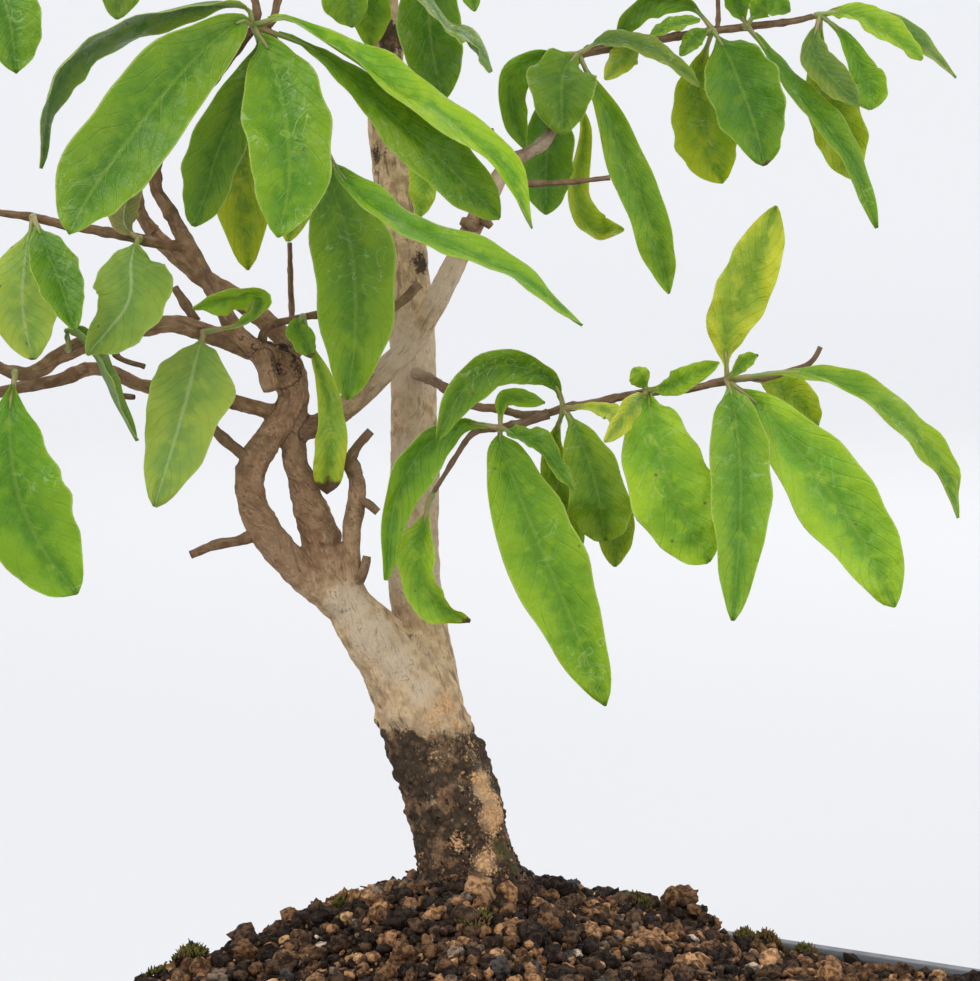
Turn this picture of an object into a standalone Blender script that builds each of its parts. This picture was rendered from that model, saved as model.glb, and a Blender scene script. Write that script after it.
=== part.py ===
"""A pomegranate bonsai in its pot: the wood, its leaf clusters, the soil, two drain screens and the pot.

The pot is centred on the origin with its long side along X and its flat underside at Z = 0. Sizes are in
millimetres and become metres where a mesh is made. The tree follows one photograph: its routes and leaves are
given as x and y in the photograph's 980 by 981 frame with a depth behind the trunk's foot, and seen() turns
these into places. What the frame cuts off grows by a seeded rule.
"""

import math
import random

import bmesh
import bpy
import numpy as np
from mathutils import Vector, noise

MM = 0.001

# The pot
POT_LENGTH = 150.0
POT_WIDTH = 120.0
POT_HEIGHT = 58.0
POT_CORNER = 15.0
CORNER_STEPS = 5
POT_FLOOR = 6.0
WALL = 4.0
PLINTH_HEIGHT = 4.0
PLINTH_INSET = 13.0
FOOT_INSET = 10.0
LIP_HEIGHT = 8.0
LIP_PROUD = 2.5
INNER_TAPER = 9.7
CORNER_FOLLOW = 0.6
EDGE_ROUND = 1.2
DRAIN_RADIUS = 7.0
DRAIN_PLACES = (-38.0, 38.0)
DRAIN_SIDES = 16

# The drain screens
SCREEN_SIDE = 24.0
SCREEN_THICK = 0.8
SCREEN_HOLES = 3
SCREEN_BAR = 0.3

# The soil
GAP = 0.3
SOIL_BOTTOM = POT_FLOOR + GAP + SCREEN_THICK + GAP
SOIL_BELOW_RIM = 1.5
SOIL_ALONG = 8
SOIL_ACROSS = 6
SOIL_RINGS = 7
SOIL_RING_POWER = 1.25
HOLE_GAP = 0.35
FOOT_RISE = 17.0
MOUND_PEAK = 20.4
MOUND_SHOULDER = 6.4
MOUND_ACROSS = 33.0
MOUND_BEHIND = 44.0
MOUND_BEFORE = 60.0
MOUND_FALL = 1.32
# Clods that stand out of the mound: x and y in the frame, depth, height and radius in mm
CLODS = (
    (650, 905, 24, 1.6, 6.0), (690, 915, 24, 2.6, 4.5), (190, 965, -4, 1.6, 5.0), (150, 985, -10, 1.6, 5.0),
    (775, 940, 36, 1.6, 3.5), (812, 948, 33, 1.6, 3.0), (470, 975, -40, 1.5, 9.0),
)
GRAIN_RELIEF = 0.9
GRAIN_SCALE = 0.28
FINE_GRAIN = 0.5
FINE_GRAIN_SCALE = 2.3

# The viewpoint that the photograph's frame was taken from
FRAME_CENTRE = (490.0, 490.5)
FRAME_SIZE = (980.0, 981.0)
VIEW_TURN = math.radians(35.0)
VIEW_DROP = math.radians(6.0)
VIEW_DISTANCE = 600.0
MM_PER_PIXEL = 0.17
FOOT_PIXEL = (470.0, 885.0)
TRUNK_FOOT = Vector((-30.0, 0.0, POT_HEIGHT + FOOT_RISE))
VIEW_RIGHT = Vector((math.cos(VIEW_TURN), math.sin(VIEW_TURN), 0.0))
VIEW_LEVEL = Vector((-math.sin(VIEW_TURN), math.cos(VIEW_TURN), 0.0))
UP = Vector((0.0, 0.0, 1.0))
VIEW_AHEAD = VIEW_LEVEL * math.cos(VIEW_DROP) - UP * math.sin(VIEW_DROP)
VIEW_UP = VIEW_LEVEL * math.sin(VIEW_DROP) + UP * math.cos(VIEW_DROP)
PIXELS_PER_SLOPE = VIEW_DISTANCE / MM_PER_PIXEL
EYE = (
    TRUNK_FOOT
    - VIEW_RIGHT * ((FOOT_PIXEL[0] - FRAME_CENTRE[0]) * MM_PER_PIXEL)
    + VIEW_UP * ((FOOT_PIXEL[1] - FRAME_CENTRE[1]) * MM_PER_PIXEL)
    - VIEW_AHEAD * VIEW_DISTANCE
)

# The wood
BARK_ROUGHNESS = 0.10
BARK_SCALE = 0.16
WOOD_SPACING = 6.0
THIN_SPACING = 15.0
ROUTE_TOLERANCE = 0.45
ROOT_DEPTH = 25.0
ROOT_SINK = 5.0
ROOT_RISE = 1.5
ROOT_START = 4.0
# Each surface root: its bearing in degrees from the pot's long side, its length and its radius in mm
SURFACE_ROOTS = ((-32.0, 22.0, 1.4), (50.0, 12.0, 2.2), (150.0, 13.0, 2.2), (235.0, 14.0, 2.0))
THICK_RADIUS = 4.0
MIDDLE_RADIUS = 1.3
SIDES_THICK = 11
SIDES_MIDDLE = 7
SIDES_THIN = 5
SIDES_THINNEST = 4
THINNEST_RADIUS = 0.85

# The leaves
LEAF_THICK = 0.7
PETIOLE_HALF = 0.5
PETIOLE_SHARE = 0.09
HUB_RADIUS = 1.2
TIP_HALF = 0.25
BASE_FULLNESS = 1.05
TIP_FULLNESS = 0.62
LARGE_WIDTH = 12.6
LARGE_SHARES = (0.0, 0.09, 0.25, 0.43, 0.62, 0.81, 0.94, 1.0)
SMALL_SHARES = (0.0, 0.09, 0.31, 0.56, 0.79, 0.94, 1.0)
GROWN_SHARES = (0.0, 0.09, 0.4, 0.76, 1.0)
LEAF_CLEAR = 1.9
WOOD_CLEAR = 1.2
SAMPLE_START = 0.16
BEND_STEPS = 9
BEND_STEP = 1.6
SAMPLES_ALONG = 24
SAMPLES_ACROSS = 7

# Each route of wood: x and y in the frame, depth and radius in mm, from its root to its end
WOOD_ROUTES = {
    "trunk": [
        (470, 885, 0, 9.0), (466, 862, 0, 8.3), (459, 830, 0, 7.9), (453, 800, 0, 8.1), (440, 765, 0, 7.7),
        (429, 735, 0, 7.5), (418, 706, 0, 7.5), (408, 684, 0, 6.8), (388, 655, -1, 5.6), (368, 630, -2, 4.9),
        (350, 606, -2, 3.9), (336, 582, -2, 2.6),
    ],
    "back_trunk": [
        (424, 722, 2, 6.0), (431, 690, 3, 5.0), (428, 655, 4, 4.4), (420, 620, 5, 4.6), (413, 560, 6, 4.4),
        (415, 480, 8, 4.2), (414, 400, 9, 4.0), (412, 330, 10, 3.9), (405, 250, 11, 3.8), (391, 150, 12, 3.6),
        (385, 80, 12, 3.3), (388, 30, 12, 2.8), (385, 0, 12, 2.2), (380, -60, 11, 1.9), (390, -120, 9, 1.5),
        (384, -180, 7, 1.2), (388, -235, 6, 0.8),
    ],
    "limb_a": [
        (362, 620, -2, 3.8), (334, 594, -3, 3.5), (305, 575, -4, 3.0), (280, 550, -5, 2.8), (262, 525, -6, 2.7),
        (251, 495, -6, 2.6), (252, 465, -6, 2.5), (268, 440, -6, 2.4), (285, 415, -6, 2.4), (294, 393, -6, 2.6),
        (284, 366, -7, 3.3), (272, 350, -7, 2.6),
    ],
    "limb_b": [
        (348, 604, -1, 4.0), (336, 580, -1, 3.8), (325, 556, -1, 3.6), (318, 530, -2, 3.3), (308, 500, -3, 2.8),
        (298, 470, -4, 2.2), (293, 440, -4, 2.0), (296, 412, -5, 2.1), (290, 385, -6, 2.4),
    ],
    "limb_c": [
        (352, 604, -3, 2.2), (352, 575, -4, 1.8), (351, 540, -4, 1.6), (356, 505, -4, 1.6), (357, 482, -4, 1.4),
        (350, 462, -4, 1.2), (345, 455, -4, 1.0),
    ],
    "limb_c_cut": [(349, 462, -4, 0.9), (357, 447, -4, 0.8), (371, 431, -4, 0.8)],
    "limb_c_side": [(356, 500, -4, 0.9), (367, 503, -5, 0.8), (378, 512, -5, 0.7)],
    "limb_c_spur": [(352, 585, -4, 1.2), (363, 572, -5, 0.9), (367, 556, -5, 0.7)],
    "limb_a_stub": [(260, 533, -6, 1.3), (238, 541, -7, 0.9), (215, 545, -8, 0.8), (191, 555, -9, 0.7)],
    "limb_a_knuckle": [(252, 463, -6, 1.2), (240, 452, -7, 1.0), (225, 440, -7, 0.9), (208, 422, -8, 0.8)],
    "nodule": [(318, 540, -3, 1.6), (327, 536, -5, 1.5), (333, 534, -5, 0.9)],
    "front_twig": [
        (284, 372, -8, 2.2), (262, 352, -10, 2.0), (240, 336, -12, 1.9), (222, 308, -13, 1.7), (205, 275, -15, 1.6),
        (186, 243, -18, 1.7), (170, 212, -21, 1.3), (156, 186, -22, 1.2), (162, 150, -23, 1.0),
        (195, 105, -24, 0.9), (230, 60, -27, 0.8), (256, 22, -29, 0.8), (252, -10, -29, 0.7),
        (238, -55, -28, 0.6), (216, -92, -27, 0.5),
    ],
    "front_stub": [(258, 350, -10, 1.9), (266, 368, -12, 1.6), (271, 391, -13, 1.4)],
    "second_shoot": [
        (256, 30, -29, 0.8), (272, 22, -29, 0.7), (278, 0, -29, 0.6), (290, -50, -31, 0.6), (306, -96, -33, 0.5),
    ],
    "hidden_twig": [(262, 24, -29, 0.7), (284, 55, -27, 0.6), (306, 105, -26, 0.6), (322, 142, -26, 0.5)],
    "left_twig": [
        (188, 246, -18, 1.1), (165, 245, -19, 0.9), (138, 239, -19, 0.9), (110, 233, -19, 0.8), (65, 225, -19, 0.8),
        (30, 217, -20, 0.7), (0, 213, -20, 0.6), (-50, 203, -22, 0.6), (-95, 182, -24, 0.5),
    ],
    "behind_branch": [
        (300, 356, -4, 2.2), (270, 325, -3, 2.1), (240, 300, -2, 2.0), (200, 275, -2, 1.9), (160, 240, -3, 1.6),
        (138, 205, -4, 1.2), (142, 160, -5, 0.9),
    ],
    "behind_stub": [(196, 322, -9, 0.9), (188, 308, -9, 0.8), (175, 288, -8, 0.7)],
    "upper_left": [
        (276, 358, -7, 2.2), (250, 348, -8, 1.9), (214, 336, -9, 1.7), (180, 325, -10, 1.6), (155, 326, -11, 1.5),
        (118, 334, -13, 1.4), (80, 346, -15, 1.5), (60, 356, -16, 1.4), (34, 373, -17, 1.2), (8, 371, -18, 1.0),
        (-25, 356, -20, 0.9), (-70, 350, -23, 0.8), (-110, 356, -27, 0.6),
    ],
    "lower_left": [
        (296, 408, -5, 1.7), (270, 411, -5, 1.4), (220, 399, -5, 1.2), (180, 392, -6, 1.1), (140, 385, -7, 1.2),
        (115, 373, -8, 1.2), (90, 369, -9, 1.2), (60, 380, -10, 1.1), (28, 386, -10, 1.0), (-20, 396, -10, 0.8),
        (-70, 398, -9, 0.6),
    ],
    "left_spur_a": [(112, 338, -13, 0.6), (118, 357, -14, 0.5), (145, 367, -15, 0.4)],
    "left_spur_b": [(112, 373, -9, 0.6), (120, 394, -11, 0.5), (135, 397, -12, 0.4)],
    "upright_twig": [(290, 352, -5, 0.7), (292, 318, 2, 0.5), (291, 290, 4, 0.5), (290, 243, 5, 0.4)],
    "green_twig": [
        (262, 342, -9, 0.9), (268, 327, -9, 0.6), (300, 318, -9, 0.6), (340, 312, -9, 0.6), (391, 308, -8, 0.8),
        (420, 284, -8, 0.8),
    ],
    "limb_d": [
        (298, 432, -4, 1.9), (320, 424, -4, 1.9), (345, 409, -3, 2.0), (380, 375, -2, 2.1), (410, 345, -1, 2.1),
        (428, 315, -1, 2.1), (442, 290, -1, 2.0), (457, 260, -1, 1.9), (480, 213, 0, 1.7), (506, 168, 2, 1.4),
        (530, 152, 4, 1.1), (548, 138, 6, 1.0), (564, 98, 11, 0.9), (575, 60, 15, 0.9), (600, 50, 17, 0.8),
        (640, 43, 19, 0.8), (700, 33, 21, 0.7), (740, 28, 22, 0.7), (790, 22, 24, 0.6), (812, 17, 25, 0.5),
    ],
    "limb_d_stub": [(504, 172, 2, 1.0), (498, 155, 1, 0.8), (489, 130, 0, 0.7)],
    "limb_d_twig": [(508, 172, 2, 0.8), (520, 183, 1, 0.6), (560, 183, 0, 0.5), (610, 178, 0, 0.4)],
    "limb_d_knob_a": [(476, 228, -1, 1.2), (468, 224, -2, 1.0), (461, 221, -2, 0.7)],
    "limb_d_knob_b": [(482, 216, 0, 1.1), (486, 222, -2, 0.9), (491, 227, -2, 0.6)],
    "upright_shoot": [(716, 34, 22, 0.5), (718, 20, 22, 0.4), (718, -10, 22, 0.4), (722, -45, 22, 0.4)],
    "right_branch": [
        (412, 372, 7, 1.6), (430, 379, 2, 1.2), (450, 391, -4, 1.1), (474, 406, -9, 1.0), (500, 409, -12, 0.9),
        (522, 415, -13, 0.9), (545, 414, -14, 0.9), (565, 408, -14, 0.9), (600, 402, -15, 0.9), (625, 396, -16, 0.9),
        (660, 391, -16, 0.9), (690, 389, -17, 0.8), (716, 383, -17, 0.9), (745, 378, -18, 0.8), (766, 378, -18, 0.7),
        (790, 371, -18, 0.7), (806, 366, -18, 0.6), (815, 357, -18, 0.6), (820, 347, -18, 0.6),
    ],
    "right_lower": [
        (548, 414, -14, 0.8), (520, 424, -15, 0.7), (494, 429, -16, 0.6), (477, 431, -16, 0.5),
        (466, 441, -16, 0.5), (447, 471, -16, 0.4), (434, 492, -16, 0.4),
    ],
    "crown_a": [(384, -8, 12, 1.2), (368, -40, 4, 0.8), (352, -68, -4, 0.5)],
    "crown_b": [(382, -30, 12, 1.2), (404, -55, 4, 0.8), (422, -76, -3, 0.5)],
    "crown_c": [(386, -92, 10, 1.1), (430, -128, 20, 0.8), (492, -150, 32, 0.5)],
    "crown_d": [(388, -122, 9, 1.0), (344, -165, -6, 0.7), (296, -188, -20, 0.5)],
    "crown_e": [(382, -62, 11, 1.2), (350, -100, 26, 0.9), (318, -128, 44, 0.5)],
    "crown_f": [(386, -150, 8, 0.9), (436, -196, -8, 0.6), (470, -214, -20, 0.5)],
    "crown_g": [(430, -128, 20, 0.7), (442, -110, 36, 0.6), (450, -96, 56, 0.5)],
    "shoulder_a": [(238, -55, -28, 0.7), (182, -82, -24, 0.6), (150, -104, -18, 0.5)],
    "shoulder_b": [(182, -82, -24, 0.6), (80, -112, -24, 0.6), (-24, -114, -22, 0.5)],
    "shoulder_c": [(290, -50, -31, 0.6), (310, -72, -46, 0.5), (322, -104, -58, 0.4)],
    "far_left_a": [(-25, 356, -20, 0.8), (-60, 322, -32, 0.6), (-84, 300, -44, 0.5)],
    "far_left_b": [(-20, 396, -10, 0.7), (-58, 430, 4, 0.6), (-84, 446, 16, 0.5)],
}

NEAR = 1.0
FAR = -1.0

# Each cluster: its route, its place on it with the side it sits on, and its leaves.
# Each leaf of a cluster: its midrib from the hub to the tip (x, y, depth), width in mm, how far it is turned
# from facing the viewer at its base and at its tip, its fold, and where along it it is widest
PHOTO_CLUSTERS = {
    "leaves_top_left": ("front_twig", (260, 28, NEAR), [
        ([(245, 8, -32), (200, 6, -34), (150, 17, -36), (100, 40, -37), (64, 68, -38), (48, 108, -38),
          (42, 169, -38)], 10.5, 78, 74, 20, 0.50),
        ([(238, 26, -33), (190, 72, -35), (140, 138, -37), (100, 198, -38), (80, 241, -38)],
         14.4, 6, -6, 12, 0.56),
        ([(262, 60, -30), (226, 132, -27), (208, 186, -26), (195, 227, -25)], 10.0, -10, -20, 14, 0.55),
        ([(272, 58, -33), (286, 118, -35), (291, 180, -36), (280, 240, -36)], 14.4, 4, 4, 10, 0.50),
        ([(263, 62, -29), (244, 116, -23), (238, 180, -20), (244, 266, -19)], 11.0, -8, 8, 12, 0.64),
        ([(286, 110, -25), (297, 176, -23), (290, 244, -22)], 7.8, 0, 20, 16, 0.66),
        ([(292, 20, -34), (350, 54, -32), (400, 88, -30), (450, 122, -28), (502, 166, -26),
          (532, 229, -25)], 8.8, 52, 44, 16, 0.52),
        ([(320, 52, -33), (370, 94, -34), (420, 138, -34), (464, 178, -33), (500, 213, -32)],
         9.8, 52, 0, 10, 0.66),
    ]),
    "leaves_under_top": ("hidden_twig", None, [
        ([(331, 182, -26), (350, 248, -25), (354, 322, -25), (345, 398, -26)], 14.4, 2, -8, 12, 0.52),
        ([(346, 180, -33), (396, 222, -34), (460, 250, -33), (524, 281, -31), (582, 326, -30)],
         9.6, 48, 66, 18, 0.44),
    ]),
    "leaf_on_trunk": ("back_trunk", (404, 140, NEAR), [
        ([(418, 160, 3), (423, 188, 2), (420, 217, 2)], 5.2, 0, 0, 10, 0.55),
    ]),
    "leaves_crown_front": ("crown_b", None, [
        ([(428, -30, -9), (431, 40, -13), (443, 102, -14)], 10.8, 0, 0, 12, 0.62),
        ([(410, -35, -16), (441, 22, -20), (470, 42, -20), (492, 72, -20)], 8.0, 74, 66, 10, 0.52),
        ([(458, -45, -6), (475, 8, -7)], 6.5, 30, 30, 12, 0.55),
    ]),
    "leaves_crown_side": ("crown_a", None, [
        ([(344, -20, -10), (352, 28, -12)], 8.6, 10, 0, 12, 0.6),
        ([(368, -15, -6), (370, 45, -6)], 7.6, -20, 0, 12, 0.6),
    ]),
    "leaves_shoulder_left": ("shoulder_b", None, [
        ([(-8, -40, -22), (10, 20, -24), (17, 74, -25)], 11.0, 10, 10, 14, 0.6),
    ]),
    "leaves_shoulder": ("shoulder_a", None, [
        ([(126, -50, -13), (117, 20, -12)], 9.0, 16, 10, 14, 0.62),
    ]),
    "leaves_left_twig": ("left_twig", (35, 219, NEAR), [
        ([(27, 255, -24), (24, 310, -25), (34, 360, -25)], 11.6, 170, 176, 12, 0.52),
        ([(50, 250, -23), (70, 294, -23), (85, 334, -23)], 8.0, 24, 10, 18, 0.50),
    ]),
    "leaves_mid_twig": ("left_twig", (140, 240, NEAR), [
        ([(132, 262, -24), (128, 305, -26), (88, 356, -27)], 13.2, 176, 160, 14, 0.45),
        ([(128, 228, -17), (132, 208, -13), (150, 184, -12)], 5.0, 170, 170, 14, 0.5),
    ]),
    "leaves_forked": ("upper_left", (206, 334, NEAR), [
        ([(196, 364, -15), (180, 425, -17), (155, 507, -18)], 13.8, 172, 176, 10, 0.42),
        ([(250, 322, -14), (262, 300, -14), (232, 302, -13), (200, 313, -12)], 6.0, 52, 52, 14, 0.6),
    ]),
    "leaves_far_left": ("upper_left", (12, 371, NEAR), [
        ([(10, 420, -24), (18, 490, -26), (44, 550, -27), (78, 594, -27)], 16.0, 6, -6, 10, 0.52),
    ]),
    "leaf_edge_on": ("upper_left", (68, 352, NEAR), [
        ([(67, 330, -22), (80, 338, -25), (98, 364, -26), (110, 396, -26), (130, 440, -25)],
         6.5, 80, 84, 20, 0.5),
    ]),
    "leaves_withered": ("green_twig", (303, 317, NEAR), [
        ([(297, 327, -13), (304, 342, -14), (312, 358, -14)], 4.6, 10, 10, 20, 0.5),
        ([(312, 350, -13), (324, 385, -14), (330, 424, -14), (327, 460, -14), (325, 494, -13)],
         6.0, 20, 10, 24, 0.8),
    ]),
    "leaves_right_first": ("right_lower", (495, 429, NEAR), [
        ([(462, 424, -18), (422, 452, -20), (396, 500, -21), (386, 580, -22)], 8.2, 44, 30, 22, 0.5),
        ([(503, 450, -18), (530, 522, -20), (565, 604, -21), (605, 706, -20)], 12.8, 2, -2, 8, 0.58),
        ([(506, 399, -17), (545, 403, -17)], 3.4, 20, 20, 12, 0.6),
        ([(516, 434, -18), (542, 448, -17), (571, 490, -16)], 5.0, 50, 40, 16, 0.55),
    ]),
    "leaf_twig_end": ("right_lower", None, [
        ([(423, 530, -18), (419, 565, -19), (434, 602, -19), (470, 622, -18)], 7.6, -14, -36, 22, 0.45),
    ]),
    "leaves_right_second": ("right_branch", (562, 409, NEAR), [
        ([(556, 386, -18), (530, 369, -20), (492, 368, -22), (461, 394, -23), (437, 440, -24)],
         6.8, 30, 20, 12, 0.6),
        ([(580, 438, -20), (598, 492, -21), (606, 541, -18)], 10.8, -4, -12, 16, 0.72),
        ([(553, 450, -10), (562, 505, -9), (580, 552, -8)], 6.0, 10, 0, 12, 0.6),
        ([(592, 450, -12), (614, 515, -11), (615, 567, -11)], 6.6, 0, 0, 12, 0.7),
        ([(594, 408, -18), (612, 416, -18), (613, 432, -18)], 3.6, 30, 10, 10, 0.7),
    ]),
    "leaves_right_third": ("right_branch", (648, 393, NEAR), [
        ([(650, 412, -22), (664, 470, -24), (690, 530, -24), (709, 562, -23)], 13.8, 2, -12, 12, 0.5),
        ([(640, 378, -20), (633, 368, -20)], 3.6, 0, 0, 10, 0.5),
        ([(676, 384, -21), (713, 366, -21)], 4.4, 20, 20, 12, 0.5),
        ([(630, 408, -23), (602, 443, -25)], 4.2, 30, 30, 12, 0.6),
    ]),
    "leaves_right_fourth": ("right_branch", (731, 380, NEAR), [
        ([(727, 330, -22), (753, 270, -24), (776, 206, -25)], 9.4, 0, 0, 14, 0.5),
        ([(734, 412, -24), (740, 500, -26), (731, 620, -27)], 10.2, -6, 6, 16, 0.55),
        ([(766, 412, -25), (824, 482, -27), (870, 550, -28), (898, 608, -28)], 13.0, -2, 4, 10, 0.5),
        ([(800, 372, -22), (855, 390, -22), (908, 428, -22), (942, 472, -22), (958, 518, -22)],
         7.6, 50, 42, 16, 0.5),
        ([(742, 364, -23), (756, 356, -24)], 2.8, 20, 20, 8, 0.5),
    ]),
    "leaf_behind": ("right_branch", (752, 377, FAR), [
        ([(772, 386, -13), (796, 400, -12), (818, 426, -11)], 6.8, 20, 10, 12, 0.55),
    ]),
    "leaves_far_first": ("limb_d", (573, 62, NEAR), [
        ([(565, 70, 10), (561, 96, 8), (562, 138, 8)], 12.2, 0, 0, 10, 0.5),
        ([(540, 57, 13), (514, 78, 13), (513, 115, 14), (526, 150, 15)], 5.6, 20, 10, 14, 0.5),
        ([(600, 100, 13), (634, 180, 12), (656, 245, 12), (669, 294, 13)], 7.4, 10, 0, 14, 0.5),
        ([(610, 40, 13), (655, 52, 12), (700, 86, 11)], 5.4, 44, 40, 12, 0.5),
    ]),
    "leaves_far_behind": ("limb_d", (570, 78, FAR), [
        ([(552, 112, 18), (546, 170, 20), (546, 215, 20)], 9.6, 10, 10, 14, 0.6),
        ([(584, 125, 22), (576, 195, 25), (596, 230, 25), (624, 230, 24)], 6.0, 20, 40, 16, 0.75),
    ]),
    "leaves_far_second": ("limb_d", (641, 43, NEAR), [
        ([(626, 54, 16), (605, 80, 15)], 5.0, 20, 10, 10, 0.5),
        ([(668, 27, 16), (700, 20, 15)], 4.0, 40, 40, 10, 0.5),
    ]),
    "leaves_far_third": ("limb_d", (710, 32, NEAR), [
        ([(690, 5, 19), (655, 1, 18), (630, 18, 17), (617, 43, 17)], 5.2, 30, 30, 12, 0.5),
        ([(730, 60, 17), (750, 112, 16), (765, 166, 16)], 13.6, 0, 8, 14, 0.5),
        ([(697, 85, 24), (706, 140, 25), (722, 184, 25)], 11.4, 0, 0, 12, 0.6),
        ([(695, 38, 18), (680, 56, 17)], 3.4, 10, 10, 10, 0.5),
    ]),
    "leaves_far_fourth": ("limb_d", (742, 28, NEAR), [
        ([(772, 58, 19), (812, 108, 18), (850, 158, 17), (877, 228, 17)], 6.4, 44, 30, 14, 0.5),
        ([(766, 5, 19), (790, 12, 18)], 6.0, 20, 20, 12, 0.5),
        ([(735, 5, 20), (742, -24, 19)], 5.0, 20, 20, 12, 0.5),
    ]),
    "leaves_far_fifth": ("limb_d", None, [
        ([(822, 75, 27), (838, 130, 28), (853, 180, 28)], 9.8, 0, 0, 12, 0.6),
        ([(812, 50, 22), (832, 82, 21), (858, 108, 20)], 6.6, 20, 10, 12, 0.5),
        ([(844, 37, 24), (862, 72, 23), (868, 84, 23), (870, 110, 22)], 6.8, 0, 0, 8, 0.84),
        ([(852, 14, 23), (890, 34, 22), (922, 60, 21)], 6.4, 40, 30, 14, 0.5),
        ([(862, 10, 27), (912, 36, 26), (957, 77, 25)], 4.8, 40, 40, 12, 0.5),
    ]),
}

# The clusters past the frame's edge grow at these ends of routes: how many leaves each one bears
GROWN_CLUSTERS = {
    "leaves_leader": ("back_trunk", 5),
    "leaves_grown_a": ("front_twig", 4),
    "leaves_grown_b": ("second_shoot", 4),
    "leaves_grown_c": ("left_twig", 3),
    "leaves_grown_d": ("upper_left", 4),
    "leaves_grown_e": ("lower_left", 3),
    "leaves_grown_f": ("crown_c", 4),
    "leaves_grown_g": ("crown_d", 4),
    "leaves_grown_h": ("crown_e", 4),
    "leaves_grown_i": ("crown_f", 4),
    "leaves_grown_j": ("crown_g", 3),
    "leaves_grown_k": ("shoulder_c", 4),
    "leaves_grown_l": ("far_left_a", 3),
    "leaves_grown_m": ("far_left_b", 3),
    "leaves_grown_n": ("upright_shoot", 3),
}
GROWN_TRIES = 60
GROWN_LENGTH = (30.0, 46.0)
GROWN_WIDTH = (8.5, 12.5)
GROWN_SPREAD = (25.0, 85.0)
GROWN_DROOP = (0.10, 0.42)
GROWN_TURN = 25.0
GROWN_TWIST = 20.0
GROWN_FOLD = (8.0, 20.0)
GROWN_WIDEST = 0.52
GROWN_SEED = 41
GROWN_SPARE = 0.8
FRAME_MARGIN = 12.0


def seen(x, y, depth):
    """The place, in mm, of a point of the frame at a depth behind the trunk's foot."""
    across = VIEW_RIGHT * ((x - FRAME_CENTRE[0]) / PIXELS_PER_SLOPE)
    down = VIEW_UP * ((y - FRAME_CENTRE[1]) / PIXELS_PER_SLOPE)
    return EYE + (VIEW_AHEAD + across - down) * (VIEW_DISTANCE + depth)


def in_pixels(place):
    """Where the frame shows a place."""
    ray = place - EYE
    scale = PIXELS_PER_SLOPE / ray.dot(VIEW_AHEAD)
    return Vector((FRAME_CENTRE[0] + ray.dot(VIEW_RIGHT) * scale, FRAME_CENTRE[1] - ray.dot(VIEW_UP) * scale))


def in_frame(place):
    """True where the photograph's frame, with a margin, would show a place."""
    x, y = in_pixels(place)
    wide = -FRAME_MARGIN < x < FRAME_SIZE[0] + FRAME_MARGIN
    return wide and -FRAME_MARGIN < y < FRAME_SIZE[1] + FRAME_MARGIN


def smooth_line(points, steps):
    """Catmull-Rom points through a list of vectors, with so many steps for each span."""
    padded = [points[0] * 2 - points[1], *points, points[-1] * 2 - points[-2]]
    line = []
    for a, b, c, d in zip(padded, padded[1:], padded[2:], padded[3:]):
        for step in range(steps):
            t = step / steps
            line.append(
                0.5 * (2 * b + (c - a) * t + (2 * a - 5 * b + 4 * c - d) * t**2 + (3 * b - a - 3 * c + d) * t**3)
            )
    line.append(points[-1])
    return line


def mesh_object(name, points, faces, material):
    """A mesh object from points in mm."""
    mesh = bpy.data.meshes.new(name)
    mesh.from_pydata([Vector(p) * MM for p in points], [], faces)
    mesh.update()
    made = bpy.data.objects.new(name, mesh)
    bpy.context.scene.collection.objects.link(made)
    made.data.materials.append(material)
    return made


def material(name, colour, roughness):
    made = bpy.data.materials.new(name)
    made.use_nodes = True
    shader = made.node_tree.nodes["Principled BSDF"]
    shader.inputs["Base Color"].default_value = (*colour, 1.0)
    shader.inputs["Roughness"].default_value = roughness
    shader.inputs["Metallic"].default_value = 0.0
    return made


def shade_round(made, degrees):
    made.data.shade_smooth()
    made.data.set_sharp_from_angle(angle=math.radians(degrees))


def apply_boolean(target, operation, collection):
    """Applies one Boolean with a collection, by a second solver where the first leaves a gap."""
    cut = target.modifiers.new("boolean", "BOOLEAN")
    cut.operation = operation
    cut.operand_type = "COLLECTION"
    cut.collection = collection
    for solver in ("EXACT", "MANIFOLD"):
        cut.solver = solver
        bpy.context.view_layer.update()
        graph = bpy.context.evaluated_depsgraph_get()
        result = bpy.data.meshes.new_from_object(target.evaluated_get(graph))
        if is_closed(result):
            break
    target.modifiers.remove(cut)
    target.data = result
    for used in list(collection.objects):
        bpy.data.objects.remove(used, do_unlink=True)
    bpy.data.collections.remove(collection)


def is_closed(mesh):
    shape = bmesh.new()
    shape.from_mesh(mesh)
    closed = bool(shape.faces) and all(len(edge.link_faces) == 2 for edge in shape.edges)
    shape.free()
    return closed


def gathered(name, objects):
    """A hidden collection of helper objects."""
    collection = bpy.data.collections.new(name)
    bpy.context.scene.collection.children.link(collection)
    for helper in objects:
        bpy.context.scene.collection.objects.unlink(helper)
        collection.objects.link(helper)
        helper.hide_render = True
        helper.display_type = "WIRE"
    return collection


def largest_body(made):
    """Drops loose scraps, so that one closed body is left."""
    shape = bmesh.new()
    shape.from_mesh(made.data)
    bmesh.ops.remove_doubles(shape, verts=shape.verts, dist=1e-7)
    left = set(shape.verts)
    bodies = []
    while left:
        start = left.pop()
        body = {start}
        edge = [start]
        while edge:
            vertex = edge.pop()
            for link in vertex.link_edges:
                other = link.other_vert(vertex)
                if other not in body:
                    body.add(other)
                    edge.append(other)
        left -= body
        bodies.append(body)
    largest = max(bodies, key=len)
    scraps = [v for body in bodies if body is not largest for v in body]
    bmesh.ops.delete(shape, geom=scraps, context="VERTS")
    shape.to_mesh(made.data)
    shape.free()


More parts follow.
